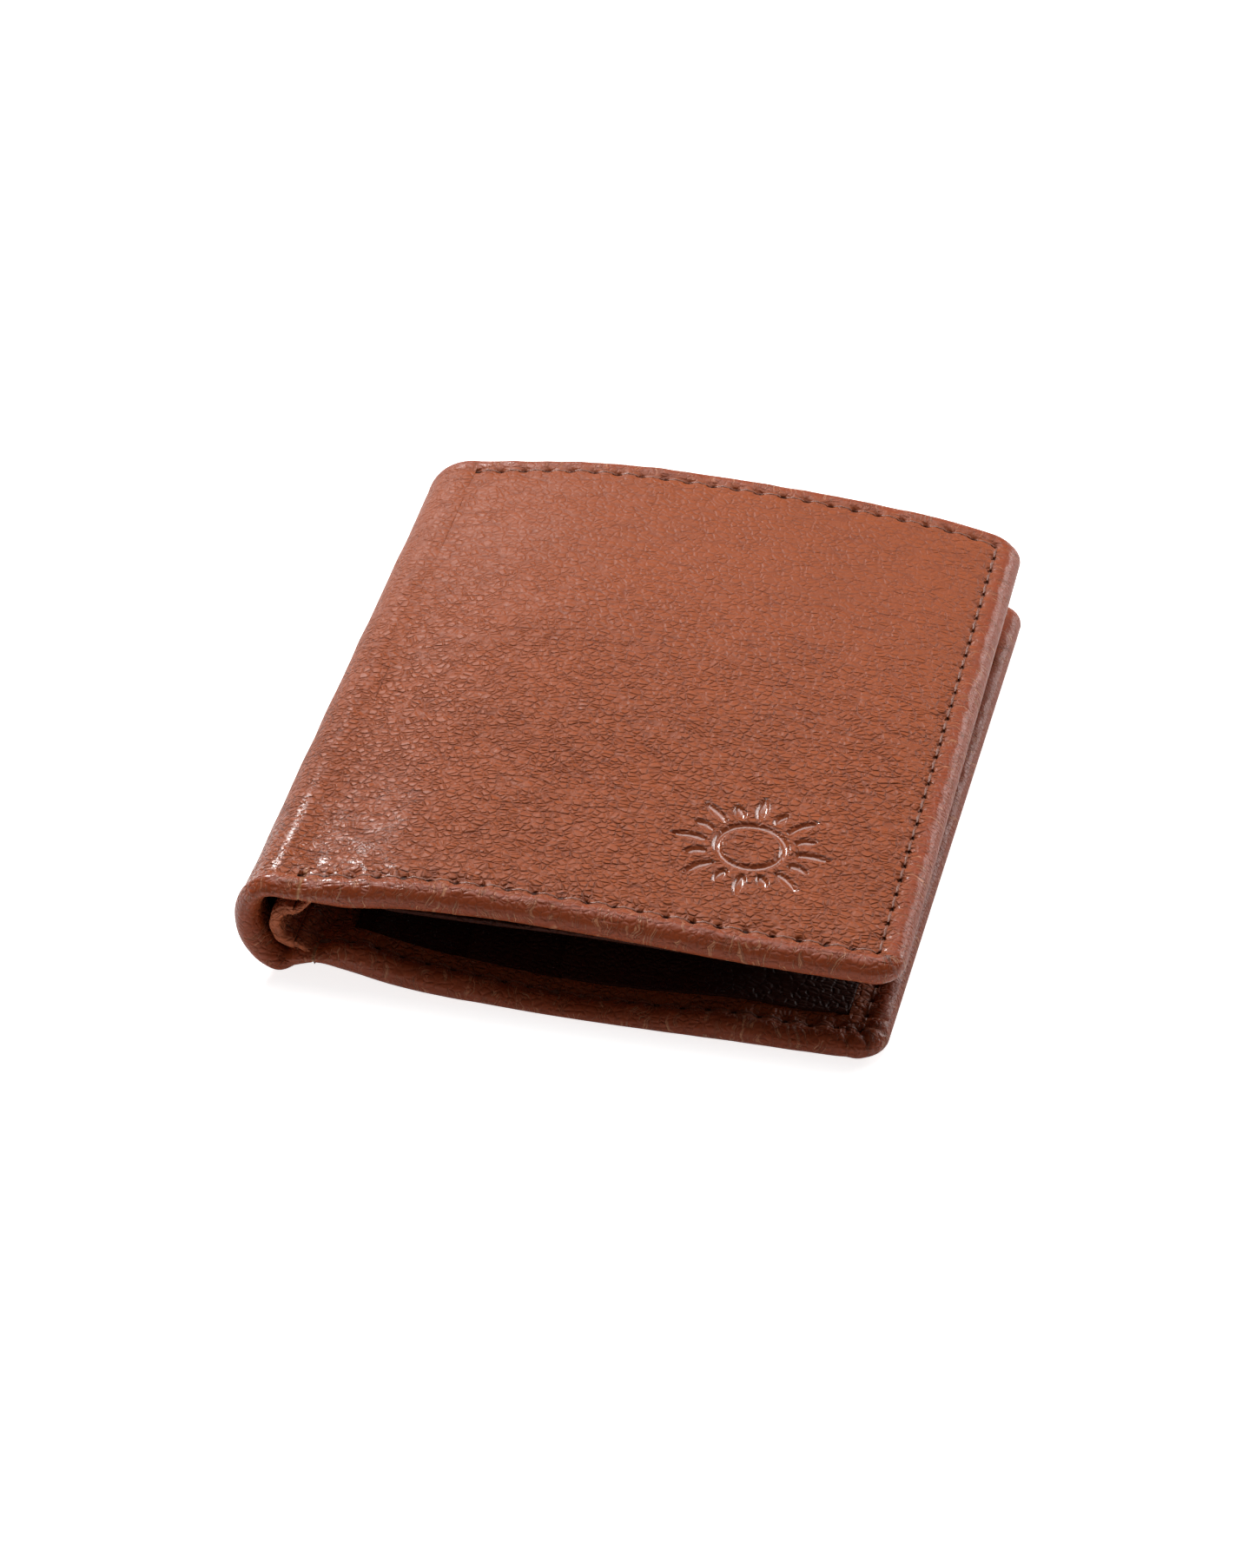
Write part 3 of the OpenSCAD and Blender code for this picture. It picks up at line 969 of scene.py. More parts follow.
@dataclass(frozen=True)
class Drape:
    """How the closed wallet lies: each leaf's rise, edge thickness and the fold's roundness, in mm."""

    half: float = 50.0
    fold_x: float = -34.2
    fold_z: float = 8.0
    face_z: float = 15.8
    under_z: float = 11.9
    leaf: float = 3.9
    front_right: float = 42.0
    back_right: float = 41.0
    front_near: Knots = (
        (-34.2, -1.1), (-28.5, -0.35), (-21, 0.75), (-15, 1.15), (-8, 1.35), (0, 1.2), (9, 0.85),
        (22, 0.15), (32, -0.1), (42, -0.2),
    )
    front_far: Knots = (
        (-34.2, -0.2), (-26.6, 1.0), (-19, 2.0), (-12, 2.45), (0, 2.4), (11, 2.0), (24, 1.0), (33, -0.1),
        (38, -1.2), (42, -2.0),
    )
    front_edge: Knots = ((-34.2, 2.4), (-31, 2.9), (-28, 3.4), (-20, 3.45), (42, 3.45))
    back_near: Knots = (
        (-34.2, 1.75), (-31.4, 2.75), (-28, 2.1), (-23, 1.0), (-17, 0.25), (-10, 0.0), (41, 0.0),
    )
    back_far: Knots = ((-34.2, 0.3), (-28, 0.05), (-20, 0.0), (41, 0.0))
    back_edge: Knots = (
        (-34.2, 2.5), (-31.4, 1.9), (-28, 3.4), (-25, 3.8), (-21, 3.6), (-11, 3.0), (-2, 2.4), (4, 2.4),
        (12, 2.7), (22, 3.3), (30, 2.9), (36, 3.2), (41, 3.2),
    )
    fold_near: Knots = (
        (0, 6.25), (17, 7.7), (34, 7.9), (52, 7.75), (68, 7.65), (84, 7.55), (106, 7.6), (127, 7.65),
        (142, 7.55), (162, 7.0), (172, 6.72), (180, 6.7),
    )
    fold_far: Knots = ((0, 7.7), (30, 7.6), (90, 7.3), (150, 7.6), (180, 7.6))
    fold_rim: Knots = (
        (0, 2.5), (31, 3.2), (65, 3.3), (90, 2.9), (116, 2.6), (137, 2.2), (150, 2.3), (180, 2.4),
    )

    def along(self, y: Array, reach: float = 100.0) -> Array:
        """Ease from 0 at the near end to 1 at reach mm from it."""
        return step_smooth(-self.half, -self.half + reach, y)

    def face(self, x: Array, y: Array) -> Array:
        """Height of the front leaf's upper face."""
        t = self.along(y)
        rise = run_through(self.front_near, x) * (1 - t) + run_through(self.front_far, x) * t
        across = step_smooth(-34, -20, x) * (1 - step_smooth(28, 42, x))
        puff = 0.35 * np.clip(1 - (np.asarray(y) / self.half) ** 2, 0, 1) * across
        return self.face_z + rise + puff

    def front_thick(self, x: Array, y: Array) -> Array:
        """Thickness of the front leaf at its edges."""
        return run_through(self.front_edge, x) + 0.0 * y

    def under(self, x: Array, y: Array) -> Array:
        """Height of the front leaf's underside."""
        edge = self.face(x, y) - self.front_thick(x, y)
        flat = self.under_z + 0.5 * (self.face(x, y) - self.face_z)
        inset = np.minimum(self.front_right - x, self.half - np.abs(y))
        return edge + (np.minimum(flat, edge) - edge) * step_smooth(4, 14, inset)

    def foot(self, x: Array, y: Array) -> Array:
        """Height of the back leaf's outer face above the table."""
        t = self.along(y, 48.0)
        return 0.28 + run_through(self.back_near, x) * (1 - t) + run_through(self.back_far, x) * t

    def skew(self, x: Array, y: Array) -> Array:
        """How far the lower leaf lies turned to the right under the top one."""
        t = np.clip((x - self.fold_x) / (self.back_right - self.fold_x), 0, 1)
        return t * t * (0.55 + 1.25 * np.asarray(y) / self.half)

    def back_thick(self, x: Array, y: Array) -> Array:
        """Thickness of the back leaf at its edges."""
        near = run_through(self.back_edge, x)
        far = 3.2 - 0.5 * (1 - step_smooth(-34, -26, x))
        t = self.along(y, 60.0)
        return near * (1 - t) + far * t

    def in_front(self, x: Array, y: Array, h: Array) -> Array:
        """Lay a point of the front leaf's layers, at CAD height h, into the draped leaf.

        Args:
            x: Across places in mm.
            y: Along places in mm.
            h: Heights from the middle in mm.

        Returns:
            The points in the draped leaf.
        """
        under, face = self.under(x, y), self.face(x, y)
        room = (face - 1.02 - under) / 2.9
        scale = np.minimum(1.0, room)
        lower = under + (np.minimum(h, 14.4) - self.under_z) * scale
        top = under + 2.5 * scale
        upper = top + (np.clip(h, 14.4, 14.8) - 14.4) / 0.4 * (face - 1.02 - top)
        return stack(x, y, np.where(h > 14.4, upper, lower))

    def in_back(self, x: Array, y: Array, h: Array) -> Array:
        """Lay a point of the back leaf's layers, at CAD height h, into the draped leaf."""
        inset = np.minimum(self.back_right - x, self.half - np.abs(y))
        scale = self.back_thick(x, y) / self.leaf
        scale = scale + (1 - scale) * step_smooth(5, 14, inset)
        return stack(x + self.skew(x, y), y, self.foot(x, y) + h * scale)

    def fold_radius(self, turn: Array, y: Array) -> Array:
        """Distance of the fold's outer face from its middle, at an angle in degrees from straight down.

        Args:
            turn: Angles round the fold, in degrees from straight down.
            y: Along places in mm.

        Returns:
            The distances in mm.
        """
        t = self.along(y)
        near, far = run_through(self.fold_near, turn), run_through(self.fold_far, turn)
        radius = near * (1 - t) + far * t
        low = self.fold_z - self.foot(np.full_like(y, self.fold_x), y)
        high = self.face(np.full_like(y, self.fold_x), y) - self.fold_z
        at_low = run_through(self.fold_near, 0.0 * y) * (1 - t) + run_through(self.fold_far, 0.0 * y) * t
        top = 180.0 + 0.0 * y
        at_high = run_through(self.fold_near, top) * (1 - t) + run_through(self.fold_far, top) * t
        ease_low, ease_high = 1 - step_smooth(0, 60, turn), step_smooth(120, 180, turn)
        return radius + (low - at_low) * ease_low + (high - at_high) * ease_high

    def fold_thick(self, turn: Array, y: Array) -> Array:
        """Thickness of the fold's rolled rim.

        Args:
            turn: Angles round the fold, in degrees from straight down.
            y: Along places in mm.

        Returns:
            The thickness in mm.
        """
        near = run_through(self.fold_rim, turn)
        low = self.back_thick(np.full_like(y, self.fold_x), y)
        high = self.front_thick(np.full_like(y, self.fold_x), y)
        far = low + (high - low) * step_smooth(0, 180, turn)
        t = self.along(y, 60.0)
        body = near * (1 - t) + far * t
        ease_low, ease_high = 1 - step_smooth(0, 30, turn), step_smooth(150, 180, turn)
        return body + (low - body) * ease_low + (high - body) * ease_high

    def on_fold(self, turn: Array, y: Array, radius: Array) -> Array:
        """A point on the fold at an angle and radius."""
        angle = np.radians(turn)
        return stack(self.fold_x - radius * np.sin(angle), y, self.fold_z - radius * np.cos(angle))


# ---------------------------------------------------------------- covers


@dataclass
class Seam:
    """The line of stitches that runs round three edges of a leaf, in mm."""

    inset: float = 3.4
    start_x: float = -33.9
    across: int = 22
    along: int = 31
    hole_depth: float = 0.60

    def pitch_x(self, right: float) -> float:
        """Stitch length on the near and far edges."""
        return (right - self.inset - self.start_x) / self.across

    def pitch_y(self, half: float) -> float:
        """Stitch length on the right edge."""
        return 2 * (half - self.inset) / self.along


@dataclass
class Mark:
    """A plain pressed rosette: an open ring with tapered strokes round it, in mm."""

    x: float = 19.6
    y: float = -30.6
    ring: float = 4.2
    line: float = 0.55
    strokes: int = 16
    inner: float = 5.6
    outer: float = 10.2
    depth: float = 0.42

    def pressed(self, x: Array, y: Array) -> tuple[Array, Array]:
        """Work out how far the mark is pressed in.

        Args:
            x: Across places.
            y: Along places.

        Returns:
            The depth in mm, and how much of the place is pressed, 0 to 1.
        """
        dx, dy = x - self.x, y - self.y
        reach = np.hypot(dx, dy)
        turn = np.arctan2(dy, dx)
        ring = np.abs(reach - self.ring) - self.line
        step = 2 * np.pi / self.strokes
        near = (turn / step - np.round(turn / step)) * step
        long = np.where(np.round(turn / step).astype(int) % 2 == 0, self.outer, self.outer - 1.7)
        t = np.clip((reach - self.inner) / (long - self.inner), 0, 1)
        width = 0.12 + 0.62 * np.sin(np.pi * np.clip(t * 0.9 + 0.1, 0, 1))
        stroke = np.abs(reach * np.sin(near)) - width
        stroke = np.where((reach < self.inner) | (reach > long), 1.0, stroke)
        gap = np.minimum(ring, stroke)
        inside = 1 - step_smooth(-0.30, 0.12, gap)
        lip = np.exp(-(((gap - 0.35) / 0.28) ** 2)) * 0.06
        return self.depth * inside - lip, 1 - step_smooth(-0.15, 0.25, gap)


EDGE_INSETS = (3.4, 3.05, 2.7, 2.35, 2.0, 1.7, 1.4, 1.1, 0.85, 0.6, 0.4, 0.22, 0.09, 0.0)


@dataclass
class Cover:
    """A leaf's outer leather: face, rolled edge and the hem turned to the inside."""

    drape: Drape
    facing: Facing
    right: float
    name: str
    hem: float = 5.5
    roll: float = 1.9
    corner: float = 4.0
    leather: float = 0.9
    groove: float = 0.20
    seam: Seam = field(default_factory=Seam)
    mark: Mark | None = None
    slit: float = -33.3

    def slit_mask(self, x: Array, y: Array, inset: Array) -> Array:
        """Where the turned edge was snipped at the near end, beside the fold."""
        near = (1 - step_smooth(3.6, 5.0, y + self.drape.half))
        return np.exp(-(((x - self.slit) / 0.17) ** 2)) * near

    def grid_lines(self) -> tuple[Array, Array]:
        """Grid lines across and along, with a line through every needle hole.

        Returns:
            The lines across and the lines along.
        """
        d, s = self.drape, self.seam
        fine_x, fine_y = 7, 6
        across = np.linspace(s.start_x, self.right - s.inset, s.across * fine_x + 1)
        along = np.linspace(-d.half + s.inset, d.half - s.inset, s.along * fine_y + 1)
        stops_x, stops_y = (self.right - self.hem,), (-d.half + self.hem, d.half - self.hem)
        for lines_at, stops in ((across, stops_x), (along, stops_y)):
            for stop in stops:
                lines_at[np.argmin(np.abs(lines_at - stop))] = stop
        edge = np.array(EDGE_INSETS[1:])
        snip = self.slit + np.array([-0.3, -0.16, 0.0, 0.16, 0.3])
        clear = (across < snip[0] - 0.1) | (across > snip[-1] + 0.1) | (np.abs(across - s.start_x) < 1e-9)
        xs = np.sort(np.concatenate([[d.fold_x], across[clear], snip, self.right - edge]))
        ys = np.concatenate([(-d.half + edge)[::-1], along, d.half - edge])
        if self.mark:
            m = self.mark
            xs = self.halve(xs, m.x - m.outer - 1, m.x + m.outer + 1)
            ys = self.halve(ys, m.y - m.outer - 1, m.y + m.outer + 1)
        return xs, ys

    @staticmethod
    def halve(places: Array, low: float, high: float) -> Array:
        """Put an extra line between each pair of lines from low to high."""
        middle = (places[1:] + places[:-1]) / 2
        return np.sort(np.concatenate([places, middle[(middle > low) & (middle < high)]]))

    def inset(self, x: Array, y: Array) -> Array:
        """Distance from the nearest of the three rolled edges."""
        return np.minimum(self.right - x, self.drape.half - np.abs(y)).clip(0)

    def run(self, x: Array, y: Array) -> Array:
        """Distance along the nearest edge."""
        return np.where(self.right - x < self.drape.half - np.abs(y), y + 200.0, x)

    def sunk_seam(self, x: Array, y: Array, inset: Array) -> Array:
        """How far the stitches pull the leather in, between and at the needle holes.

        Args:
            x: Across places in mm.
            y: Along places in mm.
            inset: Distances from the nearest edge in mm.

        Returns:
            How far it is pulled in, in mm.
        """
        s = self.seam
        phase_x = (x - s.start_x) / s.pitch_x(self.right)
        phase_y = (y + self.drape.half - s.inset) / s.pitch_y(self.drape.half)
        side = self.right - x < self.drape.half - np.abs(y)
        phase = np.where(side, phase_y, phase_x)
        tight = 0.5 + 0.5 * np.cos(2 * np.pi * phase)
        depth = self.groove * (0.45 + 0.75 * tight + 0.10 * ripple(x, y, 6.0, 11))
        wide = 0.95 + 0.15 * tight
        return depth * np.exp(-(((inset - s.inset) / wide) ** 2))

    def holes(self, x: Array, y: Array, inset: Array) -> Array:
        """A mask of the needle holes.

        Args:
            x: Across places in mm.
            y: Along places in mm.
            inset: Distances from the nearest edge in mm.

        Returns:
            The mask, 0 to 1.
        """
        s = self.seam
        px, py = s.pitch_x(self.right), s.pitch_y(self.drape.half)
        side = self.right - x < self.drape.half - np.abs(y)
        off_x = (x - s.start_x) / px
        off_y = (y + self.drape.half - s.inset) / py
        off = np.where(side, (off_y - np.round(off_y)) * py, (off_x - np.round(off_x)) * px)
        return np.exp(-((np.hypot(off / 1.6, inset - s.inset) / 0.34) ** 2))

    def rim(self, x: Array, y: Array) -> Array:
        """Thickness of the leaf at its edge."""
        if self.facing is Facing.UP:
            return self.drape.front_thick(x, y)
        return self.drape.back_thick(x, y)

    def pleats(self, x: Array, y: Array) -> Array:
        """Gathers of the turned leather at the near right corner.

        Args:
            x: Across places in mm.
            y: Along places in mm.

        Returns:
            The mask, 0 to 1.
        """
        centre_x, centre_y = self.right - 6.0, -self.drape.half + 6.0
        dx, dy = x - centre_x, centre_y - y
        turn = np.degrees(np.arctan2(dy, np.maximum(dx, 1e-6)))
        inside = step_smooth(-1.0, 1.0, dx) * step_smooth(-1.0, 1.0, dy)
        inside = inside * step_smooth(1.0, 3.5, np.hypot(dx, dy))
        sharp = np.abs(np.sin(np.radians(turn) * 7.0)) ** 0.6
        return inside * (1 - sharp)

    def depth(self, x: Array, y: Array, hem: bool) -> Array:
        """Depth below the leaf's good face.

        Args:
            x: Across places of the square grid.
            y: Along places of the square grid.
            hem: Whether this is the turned side.

        Returns:
            The depth in mm, towards the leaf's inside.
        """
        inset = self.inset(x, y)
        thick = self.rim(x, y)
        round_part = np.sqrt(1 - (1 - np.clip(inset / self.roll, 0, 1)) ** 2)
        skin = thick / 2 * (1 - round_part)
        seam = self.sunk_seam(x, y, inset) * (0.8 if hem else 1.0)
        puff = 0.16 * np.exp(-(((inset - 1.9) / 0.9) ** 2)) * (1 + 0.5 * ripple(x, y, 5.0, 23))
        wavy = 0.05 * ripple(x, y, 3.2, 31) * step_smooth(0.2, 2.0, inset) * (1 - step_smooth(5, 9, inset))
        sink = seam - puff + wavy
        if self.facing is Facing.DOWN:
            sink = sink + 0.60 * self.pleats(x, y) * step_smooth(0.0, 1.2, inset) * (1.0 if hem else 0.5)
        sink = sink + 0.22 * self.slit_mask(x, y, inset)
        if not hem:
            calm = step_smooth(3.0, 8.0, inset)
            sink = sink + calm * (0.05 * ripple(x, y, 14.0, 41) + 0.02 * ripple(x, y, 5.0, 43))
            if self.mark:
                sink = sink + self.mark.pressed(x, y)[0]
            return skin + sink
        return thick - skin - sink

    def surface(self, x: Array, y: Array, depth: Array) -> Array:
        """A point at a depth below the good face, from square-grid places."""
        px, py = round_corners(x, y, self.right, self.drape.half, self.corner)
        if self.facing is Facing.UP:
            return stack(px, py, self.drape.face(x, y) - depth)
        return stack(px + self.drape.skew(x, y), py, self.drape.foot(x, y) + depth)

    def build(self) -> bpy.types.Object:
        """Build the cover as one closed sheet of leather.

        Returns:
            The piece.
        """
        xs, ys = self.grid_lines()
        x, y = np.meshgrid(xs, ys, indexing="ij")
        inset = self.inset(x, y)
        hole = self.holes(x, y, inset)
        outer = self.surface(x, y, self.depth(x, y, False) + self.seam.hole_depth * hole)
        inner = self.surface(x, y, self.depth(x, y, True) - 0.8 * self.seam.hole_depth * hole)
        gx, gy = np.meshgrid((xs[1:] + xs[:-1]) / 2, (ys[1:] + ys[:-1]) / 2, indexing="ij")
        hem_cells = self.inset(gx, gy) < self.hem
        pressed = self.mark.pressed(x, y)[1] if self.mark else np.zeros_like(x)
        # Mask of painted shade: the needle holes, and on the lower leaf the pleats of its turned corner.
        dark = np.maximum(hole, 0.42 * self.pleats(x, y)) if self.facing is Facing.DOWN else hole
        rub = self.rubbed(x, y, inset)
        snip = self.slit_mask(x, y, inset)
        roll = 1 - step_smooth(1.6, 3.3, inset)
        run = self.run(x, y) * MM
        values = {
            "roll": (roll, roll),
            "run": (run, run),
            "pressed": (pressed, 0 * x),
            "rub": (rub, 0.7 * rub),
            "hole_and_pleat_shade": (dark, dark),
            "slit": (snip, snip),
        }
        flip = self.facing is Facing.DOWN
        return leather_sheet(
            self.name, outer, inner, inset < 1e-6, hem_cells, values, self.leather, flip
        )

    def rubbed(self, x: Array, y: Array, inset: Array) -> Array:
        """Where pebbles are polished by handling: by the fold, along the seams and at the corner."""
        by_fold = 1 - step_smooth(-34, -14, x)
        by_near = 1 - step_smooth(-46, -22, y)
        by_seam = np.exp(-(((inset - 1.6) / 1.5) ** 2))
        by_corner = np.exp(-((np.hypot(x - self.right, y + self.drape.half) / 4.0) ** 2))
        return np.clip(by_fold * (0.10 + 0.90 * by_near) + 0.28 * by_seam + by_corner, 0, 1)


def leather_sheet(
    name: str,
    outer: Array,
    inner: Array,
    shared: Array,
    hem_cells: Array,
    values: dict[str, tuple[Array, Array]],
    leather: float,
    flip: bool,
) -> bpy.types.Object:
    """Join a face grid and its turned hem grid, and give them the leather's thickness.

    Args:
        name: The piece's name.
        outer: Face points, (n, m, 3).
        inner: Hem points, (n, m, 3).
        shared: Where both grids meet, at the very edge.
        hem_cells: Cells of the hem.
        values: Named numbers on face and hem.
        leather: Thickness in mm.
        flip: Whether the face looks down.

    Returns:
        The new object, with materials numbered leather, flesh, cut edge.
    """
    count = outer.shape[0] * outer.shape[1]
    upper = np.arange(count).reshape(outer.shape[:2])
    used = np.zeros_like(shared)
    for a in (slice(None, -1), slice(1, None)):
        for b in (slice(None, -1), slice(1, None)):
            used[a, b] |= hem_cells
    own = used & ~shared
    lower = np.where(shared, upper, -1)
    lower[own] = count + np.arange(int(own.sum()))
    points = np.concatenate([outer.reshape(-1, 3), inner[own]])
    faces = np.concatenate([quads(upper, flip=flip), quads(lower, hem_cells, flip=not flip)])
    numbers = {key: np.concatenate([a.ravel(), b[own]]) for key, (a, b) in values.items()}
    obj = new_object(name, points, faces, numbers)
    thick = obj.modifiers.new("Leather thickness", "SOLIDIFY")
    thick.thickness = leather * MM
    thick.offset = -1.0
    thick.material_offset = 1
    thick.material_offset_rim = 2
    return obj


@dataclass
class Spine:
    """The fold's leather in four bends, and the lining turned inside it."""

    drape: Drape
    cover: Cover
    leather: float = 0.9
    bodies: tuple[str, ...] = ("back_leaf", "spine_lower", "spine_middle", "spine_upper", "front_leaf")
    outer_names: tuple[str, ...] = (
        "fold_leather_low",
        "fold_leather_outer_low",
        "fold_leather_outer_high",
        "fold_leather_high",
    )
    outer_nodes: tuple[tuple[str, ...], ...] = (
        ("back_spine_turn", "spine_leather_lower"),
        ("spine_leather_middle",),
        ("spine_leather_upper",),
        ("front_spine_turn",),
    )
    inner_names: tuple[str, ...] = (
        "fold_lining_low",
        "fold_lining_outer_low",
        "fold_lining_outer_high",
        "fold_lining_high",
    )
    inner_nodes: tuple[tuple[str, ...], ...] = (
        ("spine_lining_lower",),
        ("spine_lining_middle",),
        ("spine_lining_upper",),
        (),
    )
    rim_radius: float = 3.6
    lining_radius: float = 1.9
    lining_end: float = 49.2
    lining_half: float = 0.78
    leg_half: float = 0.6
    tucked_x: float = -30.6
    leg_end: float = -25.5
    tuck_low: float = 1.85
    tuck_high: float = 13.9

    def chord(self, part: int, radius: float) -> tuple[Vector, Vector]:
        """Where a bend starts and ends.

        Args:
            part: Which of the four bends.
            radius: The innermost radius that has to stay whole at the cuts, in mm.

        Returns:
            The start and end in metres.
        """
        d = self.drape
        middle = math.radians(45 * part + 22.5)
        cx, cz = d.fold_x - 7.8 * math.sin(middle), d.fold_z - 7.8 * math.cos(middle)
        reach = radius * math.sin(math.radians(22.5))
        ax, az = -math.cos(middle), math.sin(middle)
        start = Vector((cx - ax * reach, 0, cz - az * reach)) * MM
        end = Vector((cx + ax * reach, 0, cz + az * reach)) * MM
        return start, end

    def outer(self, part: int, ys: Array) -> bpy.types.Object:
        """Build one bend of the outer leather.

        Args:
            part: Which of the four bends.
            ys: Grid lines along, the same as the leaves'.

        Returns:
            The new object.
        """
        d = self.drape
        turns = np.linspace(45 * part, 45 * part + 45, 19)
        turn, y = np.meshgrid(turns, ys, indexing="ij")
        inset = d.half - np.abs(y)
        thick = d.fold_thick(turn, y)
        c = self.cover
        round_part = np.sqrt(1 - (1 - np.clip(inset / c.roll, 0, 1)) ** 2)
        skin = thick / 2 * (1 - round_part)
        at_leaf = np.minimum(turn, 180 - turn)
        x_like = np.full_like(y, d.fold_x)
        leaf_seam = c.sunk_seam(x_like, y, inset)
        seam = leaf_seam * (1 - step_smooth(0, 26, at_leaf))
        puff = 0.16 * np.exp(-(((inset - 1.9) / 0.9) ** 2)) * (1 + 0.5 * ripple(x_like, y, 5.0, 23))
        away = step_smooth(0, 12, at_leaf)
        arc = np.radians(turn) * 7.5
        uneven = 0.04 * ripple(arc, y, 16.0, 51) + 0.02 * ripple(arc * 2.2, y, 7.0, 53)
        uneven = away * step_smooth(1.0, 6.0, inset) * uneven
        sink = seam - puff + uneven
        radius = d.fold_radius(turn, y)
        outer = d.on_fold(turn, y, radius - skin - sink)
        inner = d.on_fold(turn, y, radius - thick + skin + seam * 0.8 - puff * 0.6)
        at_hem = d.half - np.abs((ys[1:] + ys[:-1]) / 2) < c.hem
        cells = np.broadcast_to(at_hem, (len(turns) - 1, len(ys) - 1))
        roll = 1 - step_smooth(1.6, 3.3, inset)
        run = (arc + 300.0) * MM
        near = 1 - step_smooth(-46, -22, y)
        rub = (0.10 + 0.90 * near) * step_smooth(70, 130, turn)
        zero = np.zeros_like(y)
        values = {"roll": (roll, roll), "run": (run, run), "rub": (rub, zero)}
        values |= {key: (zero, zero) for key in ("pressed", "hole_and_pleat_shade", "slit")}
        name = self.outer_names[part]
        return leather_sheet(name, outer, inner, inset < 1e-6, cells, values, self.leather, False)

    def lining_mid(self, turn: Array, y: Array) -> Array:
        """Radius of the lining's middle."""
        t = self.drape.along(y, 70.0)
        near = 2.55 + 0.10 * np.sin(np.radians(turn) * 3)
        return near * (1 - t) + 4.3 * t

    def inner(self, part: int) -> bpy.types.Object:
        """Build one bend of the inner lining.

        Args:
            part: Which of the four bends.

        Returns:
            The new object.
        """
        d = self.drape
        turns = np.linspace(45 * part, 45 * part + 45, 13)
        ys = lines(-self.lining_end, self.lining_end, 1.2)

        def place(turn: Array, y: Array, h: Array) -> Array:
            """A point at an angle of the fold, h mm from the lining's middle."""
            wave = np.sin(np.radians(turn) * 9 + 1.3 * np.sin(y / 9.0))
            gather = 0.05 * wave * (1 - step_smooth(-46, -18, y))
            return d.on_fold(turn, y, self.lining_mid(turn, y) + h + gather)

        x, y = np.meshgrid(turns, ys, indexing="ij")
        inset = self.lining_end - np.abs(y)
        part_round = np.clip(inset / 0.6, 0, 1)
        bulge = self.lining_half * (0.25 + 0.75 * np.sqrt(1 - (1 - part_round) ** 2))
        top, low = place(x, y, bulge), place(x, y, -bulge)
        upper = np.arange(x.size).reshape(x.shape)
        lower = upper + x.size
        cells = np.ones((x.shape[0] - 1, x.shape[1] - 1), bool)
        rim = rim_quads(upper, lower, cells)
        faces = np.concatenate([quads(upper, cells), quads(lower, cells, flip=True), rim])
        points = np.concatenate([top.reshape(-1, 3), low.reshape(-1, 3)])
        return new_object(self.inner_names[part], points, faces)

    def leg(self, name: str, high: bool) -> bpy.types.Object:
        """Build the part of the lining that runs from the fold onto a leaf.

        Args:
            name: The piece's name.
            high: Whether it lies on the front leaf.

        Returns:
            The new object.
        """
        d = self.drape

        def place(x: Array, y: Array, h: Array) -> Array:
            """A point of the leg, h mm from its middle.

            Args:
                x: Across places.
                y: Along places.
                h: Heights from the leg's middle.

            Returns:
                The points.
            """
            t = step_smooth(d.fold_x, self.tucked_x, x)
            radius = self.lining_mid(np.full_like(y, 180.0 if high else 0.0), y)
            start = d.fold_z + radius if high else d.fold_z - radius
            if high:
                goal = d.in_front(x, y, np.full_like(x, self.tuck_high))[..., 2]
            else:
                goal = d.in_back(x, y, np.full_like(x, self.tuck_low))[..., 2]
            return stack(x, y, start + (goal - start) * t + h * (1 - 0.55 * t))

        xs = lines(d.fold_x, self.leg_end, 0.7)
        ys = lines(-self.lining_end, self.lining_end, 1.2)
        return slab(name, xs, ys, -self.leg_half, self.leg_half, place)

    def build(self, finishes: Finishes) -> None:
        """Build the whole fold, and join the lining's two legs to the leaves' bodies.

        Args:
            finishes: The wallet's finishes.
        """
        ys = self.cover.grid_lines()[1]
        for part in range(4):
            pair = self.bodies[part : part + 2]
            sides = (finishes.spine, finishes.flesh, finishes.cut)
            bend = settle_with(self.outer(part, ys), Slot.LEATHER, *sides)
            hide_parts(*self.outer_nodes[part])
            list(pair)
            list(self.chord(part, self.rim_radius))
            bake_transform(bend)
            log.info("%s bends between %s and %s", bend.name, *pair)
            soft = self.inner(part)
            dress(soft, Slot.LEATHER, finishes.turned)
            if self.inner_nodes[part]:
                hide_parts(*self.inner_nodes[part])
            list(pair)
            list(self.chord(part, self.lining_radius))
            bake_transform(soft)
        for name, node, body, high in (
            ("back_lining_leg", "back_lining_turn", "back_leaf", False),
            ("front_lining_leg", "front_lining_turn", "front_leaf", True),
        ):
            leg = self.leg(name, high)
            dress(leg, Slot.LEATHER, finishes.turned)
            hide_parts(node)
            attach(leg, body)
            log.info("%s made", name)


def settle_with(obj: bpy.types.Object, slot: Slot, *materials: bpy.types.Material) -> bpy.types.Object:
    """Dress a piece and make its mesh final."""
    dress(obj, slot, *materials)
    return settle(obj)


# ---------------------------------------------------------------- stitches


